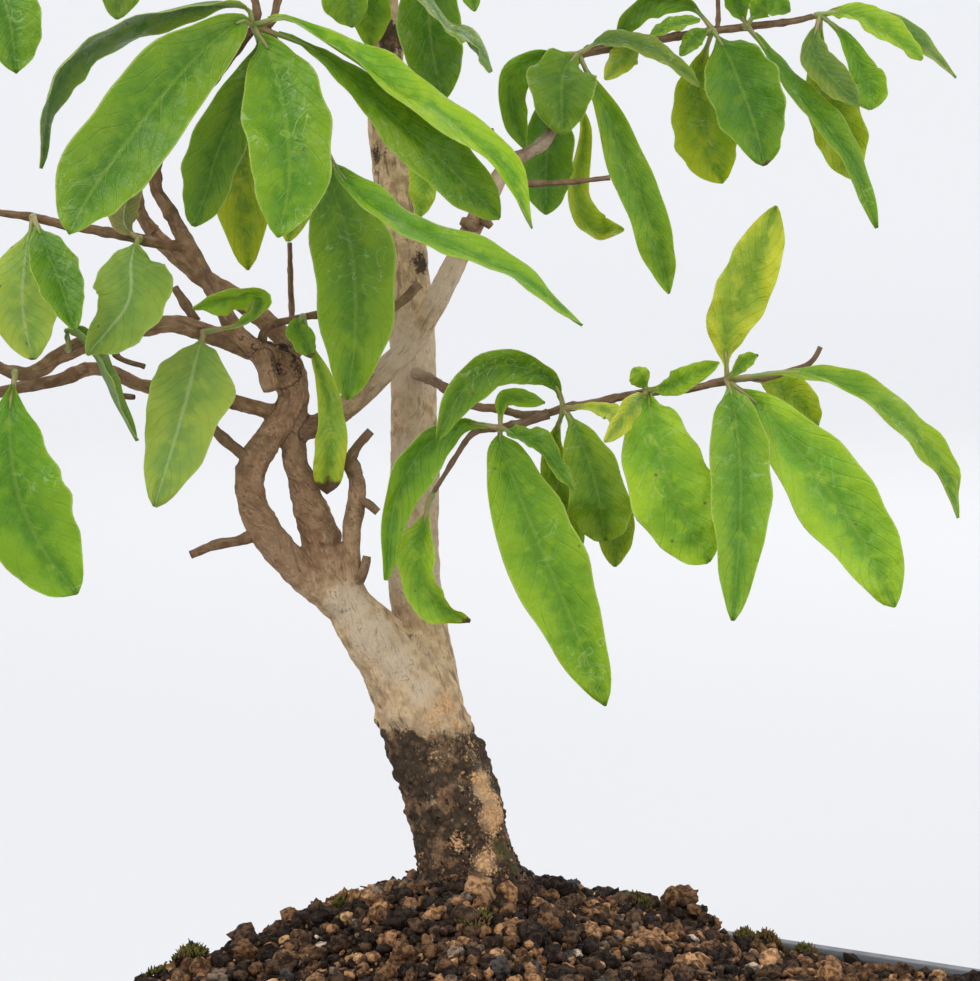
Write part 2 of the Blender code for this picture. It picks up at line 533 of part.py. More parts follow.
def rounded_loop(inset, corner_inset, height, along=0, across=0):
    """A loop round the pot: a rounded rectangle, with extra points on its long and short sides."""
    corner = POT_CORNER - corner_inset
    reach_x = POT_LENGTH / 2 - inset - corner
    reach_y = POT_WIDTH / 2 - inset - corner
    loop = []
    centres = ((1, 1), (-1, 1), (-1, -1), (1, -1))
    for quarter, (sign_x, sign_y) in enumerate(centres):
        for step in range(CORNER_STEPS + 1):
            angle = math.radians(90 * (quarter + step / CORNER_STEPS))
            x = sign_x * reach_x + corner * math.cos(angle)
            y = sign_y * reach_y + corner * math.sin(angle)
            loop.append(Vector((x, y, height)))
        extra = along if quarter in (0, 2) else across
        next_x, next_y = centres[(quarter + 1) % 4]
        angle = math.radians(90 * (quarter + 1))
        start = loop[-1]
        end = Vector(
            (next_x * reach_x + corner * math.cos(angle), next_y * reach_y + corner * math.sin(angle), height)
        )
        for step in range(1, extra + 1):
            loop.append(start.lerp(end, step / (extra + 1)))
    return loop


def loft(loops, close_start=True, close_end=True):
    """Points and faces of a skin over loops with equal counts, closed by a face at each end."""
    count = len(loops[0])
    points = [point for loop in loops for point in loop]
    faces = []
    for row in range(len(loops) - 1):
        for step in range(count):
            after = (step + 1) % count
            faces.append(
                (row * count + step, row * count + after, (row + 1) * count + after, (row + 1) * count + step)
            )
    if close_start:
        faces.append(tuple(range(count))[::-1])
    if close_end:
        faces.append(tuple((len(loops) - 1) * count + step for step in range(count)))
    return points, faces


def inner_inset(height):
    """How far the pot's inner wall stands in from the rim's outer edge at a height."""
    return WALL + INNER_TAPER * (POT_HEIGHT - height) / (POT_HEIGHT - POT_FLOOR)


def corner_share(inset):
    """How much smaller a loop's corner is than the rim's."""
    return CORNER_FOLLOW * inset


def make_pot(finish):
    lip_foot = POT_HEIGHT - LIP_HEIGHT
    edge = EDGE_ROUND
    profile = [
        (PLINTH_INSET, 0.0), (PLINTH_INSET, PLINTH_HEIGHT), (FOOT_INSET, PLINTH_HEIGHT + edge),
        (LIP_PROUD, lip_foot), (edge / 2, lip_foot), (0.0, lip_foot + edge), (0.0, POT_HEIGHT - edge),
        (edge, POT_HEIGHT), (WALL - edge, POT_HEIGHT), (WALL, POT_HEIGHT - edge),
        (inner_inset(POT_FLOOR), POT_FLOOR),
    ]
    loops = [rounded_loop(inset, corner_share(inset), height) for inset, height in profile]
    points, faces = loft(loops)
    pot = mesh_object("pot", points, faces, finish)
    drills = []
    for place in DRAIN_PLACES:
        bottom = [
            Vector((place + DRAIN_RADIUS * math.cos(angle), DRAIN_RADIUS * math.sin(angle), -1.0))
            for angle in (math.tau * side / DRAIN_SIDES for side in range(DRAIN_SIDES))
        ]
        top = [point + UP * (POT_FLOOR + 2.0) for point in bottom]
        drills.append(mesh_object("drain_drill", *loft([bottom, top]), finish))
    apply_boolean(pot, "DIFFERENCE", gathered("drain_drills", drills))
    shade_round(pot, 30)


def make_screens(finish):
    """A square of plastic mesh over each drain hole."""
    cells = 2 * SCREEN_HOLES + 1
    bar = SCREEN_SIDE * SCREEN_BAR / (SCREEN_HOLES + 1)
    hole = (SCREEN_SIDE - bar * (SCREEN_HOLES + 1)) / SCREEN_HOLES
    marks = [0.0]
    for cell in range(cells):
        marks.append(marks[-1] + (hole if cell % 2 else bar))
    for number, place in enumerate(DRAIN_PLACES, 1):
        shape = bmesh.new()
        corners = {}
        for i, x in enumerate(marks):
            for j, y in enumerate(marks):
                spot = (place + x - SCREEN_SIDE / 2, y - SCREEN_SIDE / 2, POT_FLOOR + GAP)
                corners[i, j] = shape.verts.new(Vector(spot) * MM)
        for i in range(cells):
            for j in range(cells):
                if i % 2 == 0 or j % 2 == 0:
                    ring = (corners[i, j], corners[i + 1, j], corners[i + 1, j + 1], corners[i, j + 1])
                    shape.faces.new(ring)
        sheet = shape.faces[:]
        raised = bmesh.ops.extrude_face_region(shape, geom=sheet)
        moved = [item for item in raised["geom"] if isinstance(item, bmesh.types.BMVert)]
        bmesh.ops.translate(shape, verts=moved, vec=UP * SCREEN_THICK * MM)
        bmesh.ops.recalc_face_normals(shape, faces=shape.faces)
        mesh = bpy.data.meshes.new(f"drain_screen_{number}")
        shape.to_mesh(mesh)
        shape.free()
        screen = bpy.data.objects.new(f"drain_screen_{number}", mesh)
        bpy.context.scene.collection.objects.link(screen)
        screen.data.materials.append(finish)


def wall_distance(x, y):
    """How far a place on the soil is from the pot's inner wall at the rim."""
    corner = POT_CORNER - corner_share(WALL)
    over_x = abs(x) - (POT_LENGTH / 2 - WALL - corner)
    over_y = abs(y) - (POT_WIDTH / 2 - WALL - corner)
    outside = math.hypot(max(over_x, 0.0), max(over_y, 0.0))
    return corner - outside - min(max(over_x, over_y), 0.0)


def mound(x, y):
    """The soil's height before its grains: steep by the wall, then rising to the trunk."""
    edge = POT_HEIGHT - SOIL_BELOW_RIM
    out = Vector((x - TRUNK_FOOT.x, y - TRUNK_FOOT.y, 0.0))
    across = out.dot(VIEW_RIGHT) / MOUND_ACROSS
    ahead = out.dot(VIEW_LEVEL)
    ahead /= MOUND_BEHIND if ahead > 0 else MOUND_BEFORE
    crown = POT_HEIGHT + MOUND_PEAK * math.exp(-(math.hypot(across, ahead) ** MOUND_FALL))
    share = min(max(wall_distance(x, y) / MOUND_SHOULDER, 0.0), 1.0)
    height = edge + (crown - edge) * share * (2 - share)
    for frame_x, frame_y, depth, tall, radius in CLODS:
        clod = seen(frame_x, frame_y, depth)
        near = math.hypot(x - clod.x, y - clod.y) / radius
        height += tall * math.exp(-(near**4)) * min(share * 3, 1.0)
    return height


def grains(x, y):
    """The soil's lumps, coarse ones with finer ones on them."""
    spot = Vector((x, y, 0.0)) * GRAIN_SCALE
    return noise.noise(spot) + FINE_GRAIN * noise.noise(spot * FINE_GRAIN_SCALE)


def resampled(points, radii, spacing):
    """Evenly spaced points and radii along a smooth route."""
    line = smooth_line([Vector((*point, radius)) for point, radius in zip(points, radii)], 6)
    lengths = [0.0]
    for a, b in zip(line, line[1:]):
        lengths.append(lengths[-1] + (b.xyz - a.xyz).length)
    count = max(2, round(lengths[-1] / spacing))
    places, sizes = [], []
    span = 0
    for step in range(count + 1):
        target = lengths[-1] * step / count
        while span < len(line) - 2 and lengths[span + 1] < target:
            span += 1
        share = (target - lengths[span]) / max(lengths[span + 1] - lengths[span], 1e-9)
        here = line[span].lerp(line[span + 1], min(share, 1.0))
        places.append(here.xyz)
        sizes.append(here.w)
    return places, sizes


def tube(points, radii, sides, grow=0.0):
    """Points and faces of a lumpy tube through centres, its rings carried along without twist."""
    loops = []
    side = None
    for index, centre in enumerate(points):
        before = points[max(index - 1, 0)]
        after = points[min(index + 1, len(points) - 1)]
        ahead = (after - before).normalized()
        if side is None:
            side = ahead.orthogonal().normalized()
        side = (side - ahead * side.dot(ahead)).normalized()
        other = ahead.cross(side)
        loop = []
        for step in range(sides):
            angle = math.tau * step / sides
            out = side * math.cos(angle) + other * math.sin(angle)
            lump = 1 + BARK_ROUGHNESS * noise.noise((centre + out * radii[index]) * BARK_SCALE)
            loop.append(centre + out * (radii[index] * lump + grow))
        loops.append(loop)
    return loft(loops)


def thinned(places, radii, longest):
    """Keeps only the rings that a route's shape needs: where it bends, swells or has run on for long."""
    kept = {0, len(places) - 1}
    spans = [(0, len(places) - 1)]
    while spans:
        first, last = spans.pop()
        if last - first < 2:
            continue
        start = Vector((*places[first], radii[first]))
        end = Vector((*places[last], radii[last]))
        line = end - start
        worst, index = -1.0, first
        for between in range(first + 1, last):
            here = Vector((*places[between], radii[between])) - start
            share = min(max(here.dot(line) / line.length_squared, 0.0), 1.0)
            stray = (here - line * share).length
            if stray > worst:
                worst, index = stray, between
        if line.length > longest and worst < ROUTE_TOLERANCE:
            index = (first + last) // 2
        if worst > ROUTE_TOLERANCE or line.length > longest:
            kept.add(index)
            spans.extend([(first, index), (index, last)])
    order = sorted(kept)
    return [places[index] for index in order], [radii[index] for index in order]


def plain_tube(places, radii, grow=0.0):
    """A tube with fewer rings and sides the thinner it is."""
    thickest = max(radii)
    sides, longest = SIDES_THIN, THIN_SPACING
    if thickest < THINNEST_RADIUS:
        sides = SIDES_THINNEST
    if thickest > MIDDLE_RADIUS:
        sides, longest = SIDES_MIDDLE, WOOD_SPACING * 2
    if thickest > THICK_RADIUS:
        sides = SIDES_THICK
    places, radii = resampled(places, radii, 1.0)
    places, radii = thinned(places, radii, longest)
    return tube(places, radii, sides, grow)


def wood_lines():
    """Every route of wood as places and radii in mm, the trunk with its buried end first."""
    lines = {}
    for name, route in WOOD_ROUTES.items():
        places = [seen(x, y, depth) for x, y, depth, radius in route]
        radii = [radius for x, y, depth, radius in route]
        if name == "trunk":
            places = [TRUNK_FOOT - UP * ROOT_DEPTH, TRUNK_FOOT - UP * ROOT_DEPTH / 2, *places]
            radii = [radii[0] * 0.8, radii[0] * 0.95, *radii]
        lines[name] = (places, radii)
    lines.update(root_lines())
    return lines


def root_lines():
    """Surface roots that leave the trunk's foot, ride half sunk in the soil and dive at their ends."""
    lines = {}
    for number, (degrees, length, radius) in enumerate(SURFACE_ROOTS, 1):
        angle = math.radians(degrees)
        out = Vector((math.cos(angle), math.sin(angle), 0.0))
        places = []
        radii = []
        for share in (0.0, 0.35, 0.6, 0.8, 1.0):
            spot = TRUNK_FOOT + out * (ROOT_START + length * share)
            spot.z = mound(spot.x, spot.y) - ROOT_SINK * share**2 + ROOT_RISE * (1 - share) ** 2
            places.append(spot)
            radii.append(radius * (1 - 0.6 * share))
        lines[f"root_{number}"] = (places, radii)
    return lines


def make_wood(lines, finish):
    tubes = []
    for name, (places, radii) in lines.items():
        tubes.append(mesh_object(name, *plain_tube(places, radii), finish))
    wood = tubes.pop(0)
    wood.name = "wood"
    apply_boolean(wood, "UNION", gathered("wood_limbs", tubes))
    largest_body(wood)
    shade_round(wood, 40)


def is_buried(point, lowest, end):
    """True for the ring that closes a hole: the trunk's lowest one, or the one at a root's end."""
    if lowest is not None:
        return point.z < lowest + 0.5
    return (point - end).length < 1.5


def make_soil(lines, finish):
    """The filled inside of the pot under a mound, with a plain hole for the trunk and grooves for its roots."""
    loops = []
    edge = POT_HEIGHT - SOIL_BELOW_RIM
    for height in (SOIL_BOTTOM, (SOIL_BOTTOM + edge) / 2, edge):
        inset = inner_inset(height)
        loops.append(rounded_loop(inset + GAP, corner_share(inset) + GAP, height, SOIL_ALONG, SOIL_ACROSS))
    rim = loops[-1]
    centre = Vector((TRUNK_FOOT.x, TRUNK_FOOT.y, edge))
    for ring in range(1, SOIL_RINGS + 1):
        share = (ring / (SOIL_RINGS + 0.6)) ** SOIL_RING_POWER
        loop = []
        for point in rim:
            spot = point.lerp(centre, share)
            spot.z = mound(spot.x, spot.y) + GRAIN_RELIEF * grains(spot.x, spot.y) * min(share * 8, 1.0)
            loop.append(spot)
        loops.append(loop)
    soil = mesh_object("soil", *loft(loops), finish)
    cutters = []
    for name, (places, radii) in lines.items():
        if name == "trunk" or name.startswith("root"):
            skin, faces = plain_tube(places, radii, HOLE_GAP)
            buried = -UP if name == "trunk" else (places[-1] - places[-2]).normalized()
            end = min(skin, key=lambda point: point.z).z if name == "trunk" else None
            skin = [point + buried * HOLE_GAP if is_buried(point, end, places[-1]) else point for point in skin]
            cutters.append(mesh_object(name + "_hole", skin, faces, finish))
    apply_boolean(soil, "DIFFERENCE", gathered("soil_holes", cutters))
    largest_body(soil)


class Leaf:
    """One blade with its stalk: a midrib of places in mm and the numbers that shape it."""

    def __init__(self, midrib, width, turns, fold, widest, facing):
        self.line = smooth_line(midrib, 8)
        self.width = width
        self.turns = turns
        self.fold = fold
        self.widest = widest
        self.facing = facing
        self.bend = 0.0

    def centre(self, share):
        spot = share * (len(self.line) - 1)
        index = min(int(spot), len(self.line) - 2)
        here = self.line[index].lerp(self.line[index + 1], spot - index)
        return here - self.facing * (self.bend * share)

    def half_width(self, share):
        if share <= PETIOLE_SHARE:
            return PETIOLE_HALF
        blade = min((share - PETIOLE_SHARE) / (1 - PETIOLE_SHARE), 1.0)
        if blade < self.widest:
            swell = math.sin(math.pi / 2 * blade / self.widest) ** BASE_FULLNESS
            return max(self.width / 2 * swell, PETIOLE_HALF)
        swell = max(math.cos(math.pi / 2 * (blade - self.widest) / (1 - self.widest)), 0.0) ** TIP_FULLNESS
        return max(self.width / 2 * swell, TIP_HALF)

    def row(self, share):
        """The centre, the side vector and the facing vector at a share of the length."""
        centre = self.centre(share)
        ahead = (self.centre(min(share + 0.03, 1.0)) - self.centre(max(share - 0.03, 0.0))).normalized()
        side = ahead.cross(self.facing)
        if side.length < 0.05:
            side = ahead.orthogonal()
        side.normalize()
        face = side.cross(ahead)
        turn = math.radians(self.turns[0] + (self.turns[1] - self.turns[0]) * share)
        turned_side = side * math.cos(turn) + face * math.sin(turn)
        turned_face = face * math.cos(turn) - side * math.sin(turn)
        return centre, turned_side, turned_face

    def edge_points(self, share):
        """The left edge, the middle and the right edge of the blade's middle surface."""
        centre, side, face = self.row(share)
        half = self.half_width(share)
        lift = math.radians(self.fold) if share > PETIOLE_SHARE else 0.0
        out = side * (half * math.cos(lift))
        rise = face * (half * math.sin(lift))
        return centre - out + rise, centre, centre + out + rise, face

    def samples(self):
        """Points over the blade, for telling how near it comes to its neighbours."""
        found = []
        for i in range(SAMPLES_ALONG):
            left, middle, right, face = self.edge_points(SAMPLE_START + (1 - SAMPLE_START) * i / (SAMPLES_ALONG - 1))
            for j in range(SAMPLES_ACROSS):
                across = 2 * j / (SAMPLES_ACROSS - 1) - 1
                found.append(middle.lerp(left, -across) if across < 0 else middle.lerp(right, across))
        return np.array([tuple(point) for point in found])


class Room:
    """The places already taken by wood, hubs and leaves, each with how thick it is there."""

    def __init__(self):
        self.places = np.zeros((0, 3))
        self.thick = np.zeros(0)

    def add(self, places, thick):
        self.places = np.vstack([self.places, places])
        self.thick = np.concatenate([self.thick, np.full(len(places), thick)])

    def clearance(self, samples, limit):
        """The least distance from the samples to what is taken, up to a limit."""
        low = samples.min(axis=0) - limit - 10
        high = samples.max(axis=0) + limit + 10
        near = ((self.places > low) & (self.places < high)).all(axis=1)
        if not near.any():
            return limit
        others = self.places[near]
        gaps = np.linalg.norm(samples[:, None, :] - others[None, :, :], axis=2) - self.thick[near]
        return float(gaps.min())


def wood_room(lines):
    """The wood as many balls along its routes."""
    room = Room()
    for places, radii in lines.values():
        places, radii = resampled(places, radii, 1.0)
        for place, radius in zip(places, radii):
            room.add(np.array([tuple(place)]), radius + WOOD_CLEAR - LEAF_CLEAR)
    return room


def bend_order():
    yield 0.0
    for step in range(1, BEND_STEPS + 1):
        yield step * BEND_STEP
        yield -step * BEND_STEP


def settle(leaf, room):
    """Bends a leaf away from the viewer or towards them until it is clear, or as clear as it can be."""
    best = (-1e9, 0.0)
    for bend in bend_order():
        leaf.bend = bend
        clearance = room.clearance(leaf.samples(), 4.0)
        if clearance >= LEAF_CLEAR:
            return
        best = max(best, (clearance, bend))
    leaf.bend = best[1]


def seat_at(lines, route, spot):
    """Where a cluster's hub sits: past the end of a route, or beside a spot of it on its near or far side."""
    places, radii = resampled(*lines[route], 1.0)
    if spot is None:
        return places[-1] + (places[-1] - places[-2]).normalized() * (GAP + HUB_RADIUS)
    x, y, towards = spot
    index = min(range(1, len(places) - 1), key=lambda i: (in_pixels(places[i]) - Vector((x, y))).length)
    along = (places[index + 1] - places[index - 1]).normalized()
    near_side = (-VIEW_AHEAD + along * VIEW_AHEAD.dot(along)).normalized()
    return places[index] + near_side * towards * (radii[index] + GAP + HUB_RADIUS)


def photo_leaves(lines, room):
    """The clusters of the photograph: {name: (hub, leaves)}."""
    clusters = {}
    for name, (route, spot, rows) in PHOTO_CLUSTERS.items():
        hub = seat_at(lines, route, spot)
        leaves = []
        for points, width, start_turn, end_turn, fold, widest in rows:
            midrib = [hub, *(seen(*point) for point in points)]
            leaf = Leaf(midrib, width, (start_turn, end_turn), fold, widest, -VIEW_AHEAD)
            settle(leaf, room)
            leaves.append(leaf)
            room.add(leaf.samples(), 0.0)
        clusters[name] = (hub, leaves)
    return clusters


def grown_leaf(hub, along, draw):
    """One leaf of a whorl round the end of a twig, arching out and down."""
    around = draw.uniform(0, math.tau)
    spread = math.radians(draw.uniform(*GROWN_SPREAD))
    side = along.orthogonal().normalized()
    other = along.cross(side)
    out = along * math.cos(spread) + (side * math.cos(around) + other * math.sin(around)) * math.sin(spread)
    length = draw.uniform(*GROWN_LENGTH)
    droop = draw.uniform(*GROWN_DROOP)
    midrib = [
        hub,
        hub + out * length * 0.35,
        hub + out * length * 0.70 - UP * length * droop * 0.35,
        hub + out * length * 0.95 - UP * length * droop,
    ]
    turn = draw.uniform(-GROWN_TURN, GROWN_TURN)
    twist = draw.uniform(-GROWN_TWIST, GROWN_TWIST)
    return Leaf(midrib, draw.uniform(*GROWN_WIDTH), (turn, turn + twist), draw.uniform(*GROWN_FOLD), GROWN_WIDEST, UP)


def grown_leaves(lines, room):
    """The clusters past the frame's edge, which leave the frame's view as the photograph has it."""
    clusters = {}
    draw = random.Random(GROWN_SEED)
    for name, (route, count) in GROWN_CLUSTERS.items():
        places, radii = lines[route]
        along = (places[-1] - places[-2]).normalized()
        hub = seat_at(lines, route, None)
        leaves = []
        for attempt in range(GROWN_TRIES):
            leaf = grown_leaf(hub, along, draw)
            samples = leaf.samples()
            if any(in_frame(Vector(sample)) for sample in samples[::5]):
                continue
            if room.clearance(samples, 4.0) < LEAF_CLEAR + GROWN_SPARE:
                continue
            leaves.append(leaf)
            room.add(samples, 0.0)
            if len(leaves) == count:
                break
        clusters[name] = (hub, leaves)
    return clusters


def blade_mesh(leaf):
    """Points and faces of one thin closed blade, with a crease along its midrib where it is a large one."""
    large = leaf.width > LARGE_WIDTH
    shares = LARGE_SHARES if large else SMALL_SHARES
    if leaf.facing is UP:
        large, shares = False, GROWN_SHARES
    loops = []
    for share in shares:
        left, middle, right, face = leaf.edge_points(share)
        up = face * (LEAF_THICK / 2)
        if large:
            loops.append([left + up, middle + up, right + up, right - up, middle - up, left - up])
        else:
            loops.append([left + up, right + up, right - up, left - up])
    points, quads = loft(loops)
    count = len(loops[0])
    faces = []
    for quad in quads:
        if len(quad) != 4 or count == 4 and quad in (quads[-1], quads[-2]):
            faces.append(quad)
            continue
        a, b, c, d = quad
        upper = a % count < count // 2
        faces.extend([(a, b, c), (a, c, d)] if upper else [(a, b, d), (b, c, d)])
    return points, faces


def make_cluster(name, hub, leaves, finish):
    """A hub with the blades that grow from it, as one body."""
    shape = bmesh.new()
    bmesh.ops.create_icosphere(shape, subdivisions=1, radius=HUB_RADIUS * MM)
    bmesh.ops.translate(shape, verts=shape.verts, vec=hub * MM)
    mesh = bpy.data.meshes.new(name)
    shape.to_mesh(mesh)
    shape.free()
    cluster = bpy.data.objects.new(name, mesh)
    bpy.context.scene.collection.objects.link(cluster)
    mesh.materials.append(finish)
    blades = [mesh_object("blade", *blade_mesh(leaf), finish) for leaf in leaves]
    for blade in blades:
        face_out(blade)
    apply_boolean(cluster, "UNION", gathered("blades", blades))
    largest_body(cluster)
    shade_round(cluster, 35)


def face_out(made):
    shape = bmesh.new()
    shape.from_mesh(made.data)
    bmesh.ops.recalc_face_normals(shape, faces=shape.faces)
    shape.to_mesh(made.data)
    shape.free()


def main():
    for old in list(bpy.data.objects):
        bpy.data.objects.remove(old, do_unlink=True)
    glaze = material("pot_glaze", (0.085, 0.10, 0.12), 0.25)
    mesh_plastic = material("screen_plastic", (0.03, 0.03, 0.03), 0.5)
    earth = material("soil", (0.10, 0.055, 0.03), 0.95)
    bark = material("bark", (0.27, 0.19, 0.13), 0.85)
    green = material("leaf", (0.10, 0.26, 0.04), 0.38)
    make_pot(glaze)
    make_screens(mesh_plastic)
    lines = wood_lines()
    make_wood(lines, bark)
    make_soil(lines, earth)
    room = wood_room(lines)
    clusters = photo_leaves(lines, room)
    clusters.update(grown_leaves(lines, room))
    for name, (hub, leaves) in clusters.items():
        make_cluster(name, hub, leaves, green)


main()
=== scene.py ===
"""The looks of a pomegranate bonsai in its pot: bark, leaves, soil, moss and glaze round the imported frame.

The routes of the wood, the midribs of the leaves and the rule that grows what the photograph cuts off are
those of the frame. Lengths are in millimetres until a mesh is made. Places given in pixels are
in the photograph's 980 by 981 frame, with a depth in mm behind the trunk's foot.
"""

import math
import random

import bmesh
import bpy
import numpy as np
from mathutils import Matrix, Vector, noise
from mathutils.kdtree import KDTree


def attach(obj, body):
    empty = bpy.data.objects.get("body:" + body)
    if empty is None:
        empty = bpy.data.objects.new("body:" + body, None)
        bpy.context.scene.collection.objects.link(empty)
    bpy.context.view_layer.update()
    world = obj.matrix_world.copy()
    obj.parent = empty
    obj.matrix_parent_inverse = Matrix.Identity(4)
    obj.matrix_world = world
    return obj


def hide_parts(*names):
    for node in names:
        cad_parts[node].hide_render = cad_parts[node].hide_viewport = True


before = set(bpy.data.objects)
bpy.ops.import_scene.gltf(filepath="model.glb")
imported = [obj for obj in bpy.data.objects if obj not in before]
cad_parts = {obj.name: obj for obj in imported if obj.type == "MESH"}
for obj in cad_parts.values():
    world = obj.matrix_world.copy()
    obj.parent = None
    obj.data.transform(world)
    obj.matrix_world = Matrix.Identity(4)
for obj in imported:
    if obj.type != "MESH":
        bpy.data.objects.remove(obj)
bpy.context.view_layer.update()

MM = 0.001

# The pot
POT_LENGTH = 150.0
POT_WIDTH = 120.0
POT_HEIGHT = 58.0
POT_CORNER = 15.0
POT_FLOOR = 6.0
WALL = 4.0
PLINTH_HEIGHT = 4.0
PLINTH_INSET = 13.0
FOOT_INSET = 10.0
LIP_HEIGHT = 8.0
LIP_PROUD = 2.5
INNER_TAPER = 9.7
CORNER_FOLLOW = 0.6
EDGE_ROUND = 1.2
DRAIN_RADIUS = 7.0
DRAIN_PLACES = (-38.0, 38.0)
DRAIN_SIDES = 16

# The soil
GAP = 0.3
SOIL_BELOW_RIM = 1.5
FOOT_RISE = 17.0
MOUND_PEAK = 20.4
MOUND_SHOULDER = 6.4
MOUND_ACROSS = 33.0
MOUND_BEHIND = 44.0
MOUND_BEFORE = 60.0
MOUND_FALL = 1.32
# Clods that stand out of the mound: x and y in the frame, depth, height and radius in mm
CLODS = (
    (650, 905, 24, 1.6, 6.0), (690, 915, 24, 2.6, 4.5), (190, 965, -4, 1.6, 5.0), (150, 985, -10, 1.6, 5.0),
    (775, 940, 36, 1.6, 3.5), (812, 948, 33, 1.6, 3.0), (470, 975, -40, 1.5, 9.0),
)

# The viewpoint that the photograph's frame was taken from
FRAME_CENTRE = (490.0, 490.5)
FRAME_SIZE = (980.0, 981.0)
VIEW_TURN = math.radians(35.0)
VIEW_DROP = math.radians(6.0)
VIEW_DISTANCE = 600.0
MM_PER_PIXEL = 0.17
FOOT_PIXEL = (470.0, 885.0)
TRUNK_FOOT = Vector((-30.0, 0.0, POT_HEIGHT + FOOT_RISE))
VIEW_RIGHT = Vector((math.cos(VIEW_TURN), math.sin(VIEW_TURN), 0.0))
VIEW_LEVEL = Vector((-math.sin(VIEW_TURN), math.cos(VIEW_TURN), 0.0))
UP = Vector((0.0, 0.0, 1.0))
VIEW_AHEAD = VIEW_LEVEL * math.cos(VIEW_DROP) - UP * math.sin(VIEW_DROP)
VIEW_UP = VIEW_LEVEL * math.sin(VIEW_DROP) + UP * math.cos(VIEW_DROP)
PIXELS_PER_SLOPE = VIEW_DISTANCE / MM_PER_PIXEL
EYE = (
    TRUNK_FOOT
    - VIEW_RIGHT * ((FOOT_PIXEL[0] - FRAME_CENTRE[0]) * MM_PER_PIXEL)
    + VIEW_UP * ((FOOT_PIXEL[1] - FRAME_CENTRE[1]) * MM_PER_PIXEL)
    - VIEW_AHEAD * VIEW_DISTANCE
)

# The wood
ROOT_DEPTH = 25.0
ROOT_SINK = 5.0
ROOT_RISE = 1.5
ROOT_START = 4.0
# Each surface root: its bearing in degrees from the pot's long side, its length and its radius in mm
SURFACE_ROOTS = ((-32.0, 22.0, 1.4), (50.0, 12.0, 2.2), (150.0, 13.0, 2.2), (235.0, 14.0, 2.0))

# The leaves
PETIOLE_HALF = 0.5
PETIOLE_SHARE = 0.09
HUB_RADIUS = 1.2
TIP_HALF = 0.25
BASE_FULLNESS = 1.05
TIP_FULLNESS = 0.62
LEAF_CLEAR = 1.9
WOOD_CLEAR = 1.2
SAMPLE_START = 0.16
BEND_STEPS = 9
BEND_STEP = 1.6
SAMPLES_ALONG = 24
SAMPLES_ACROSS = 7

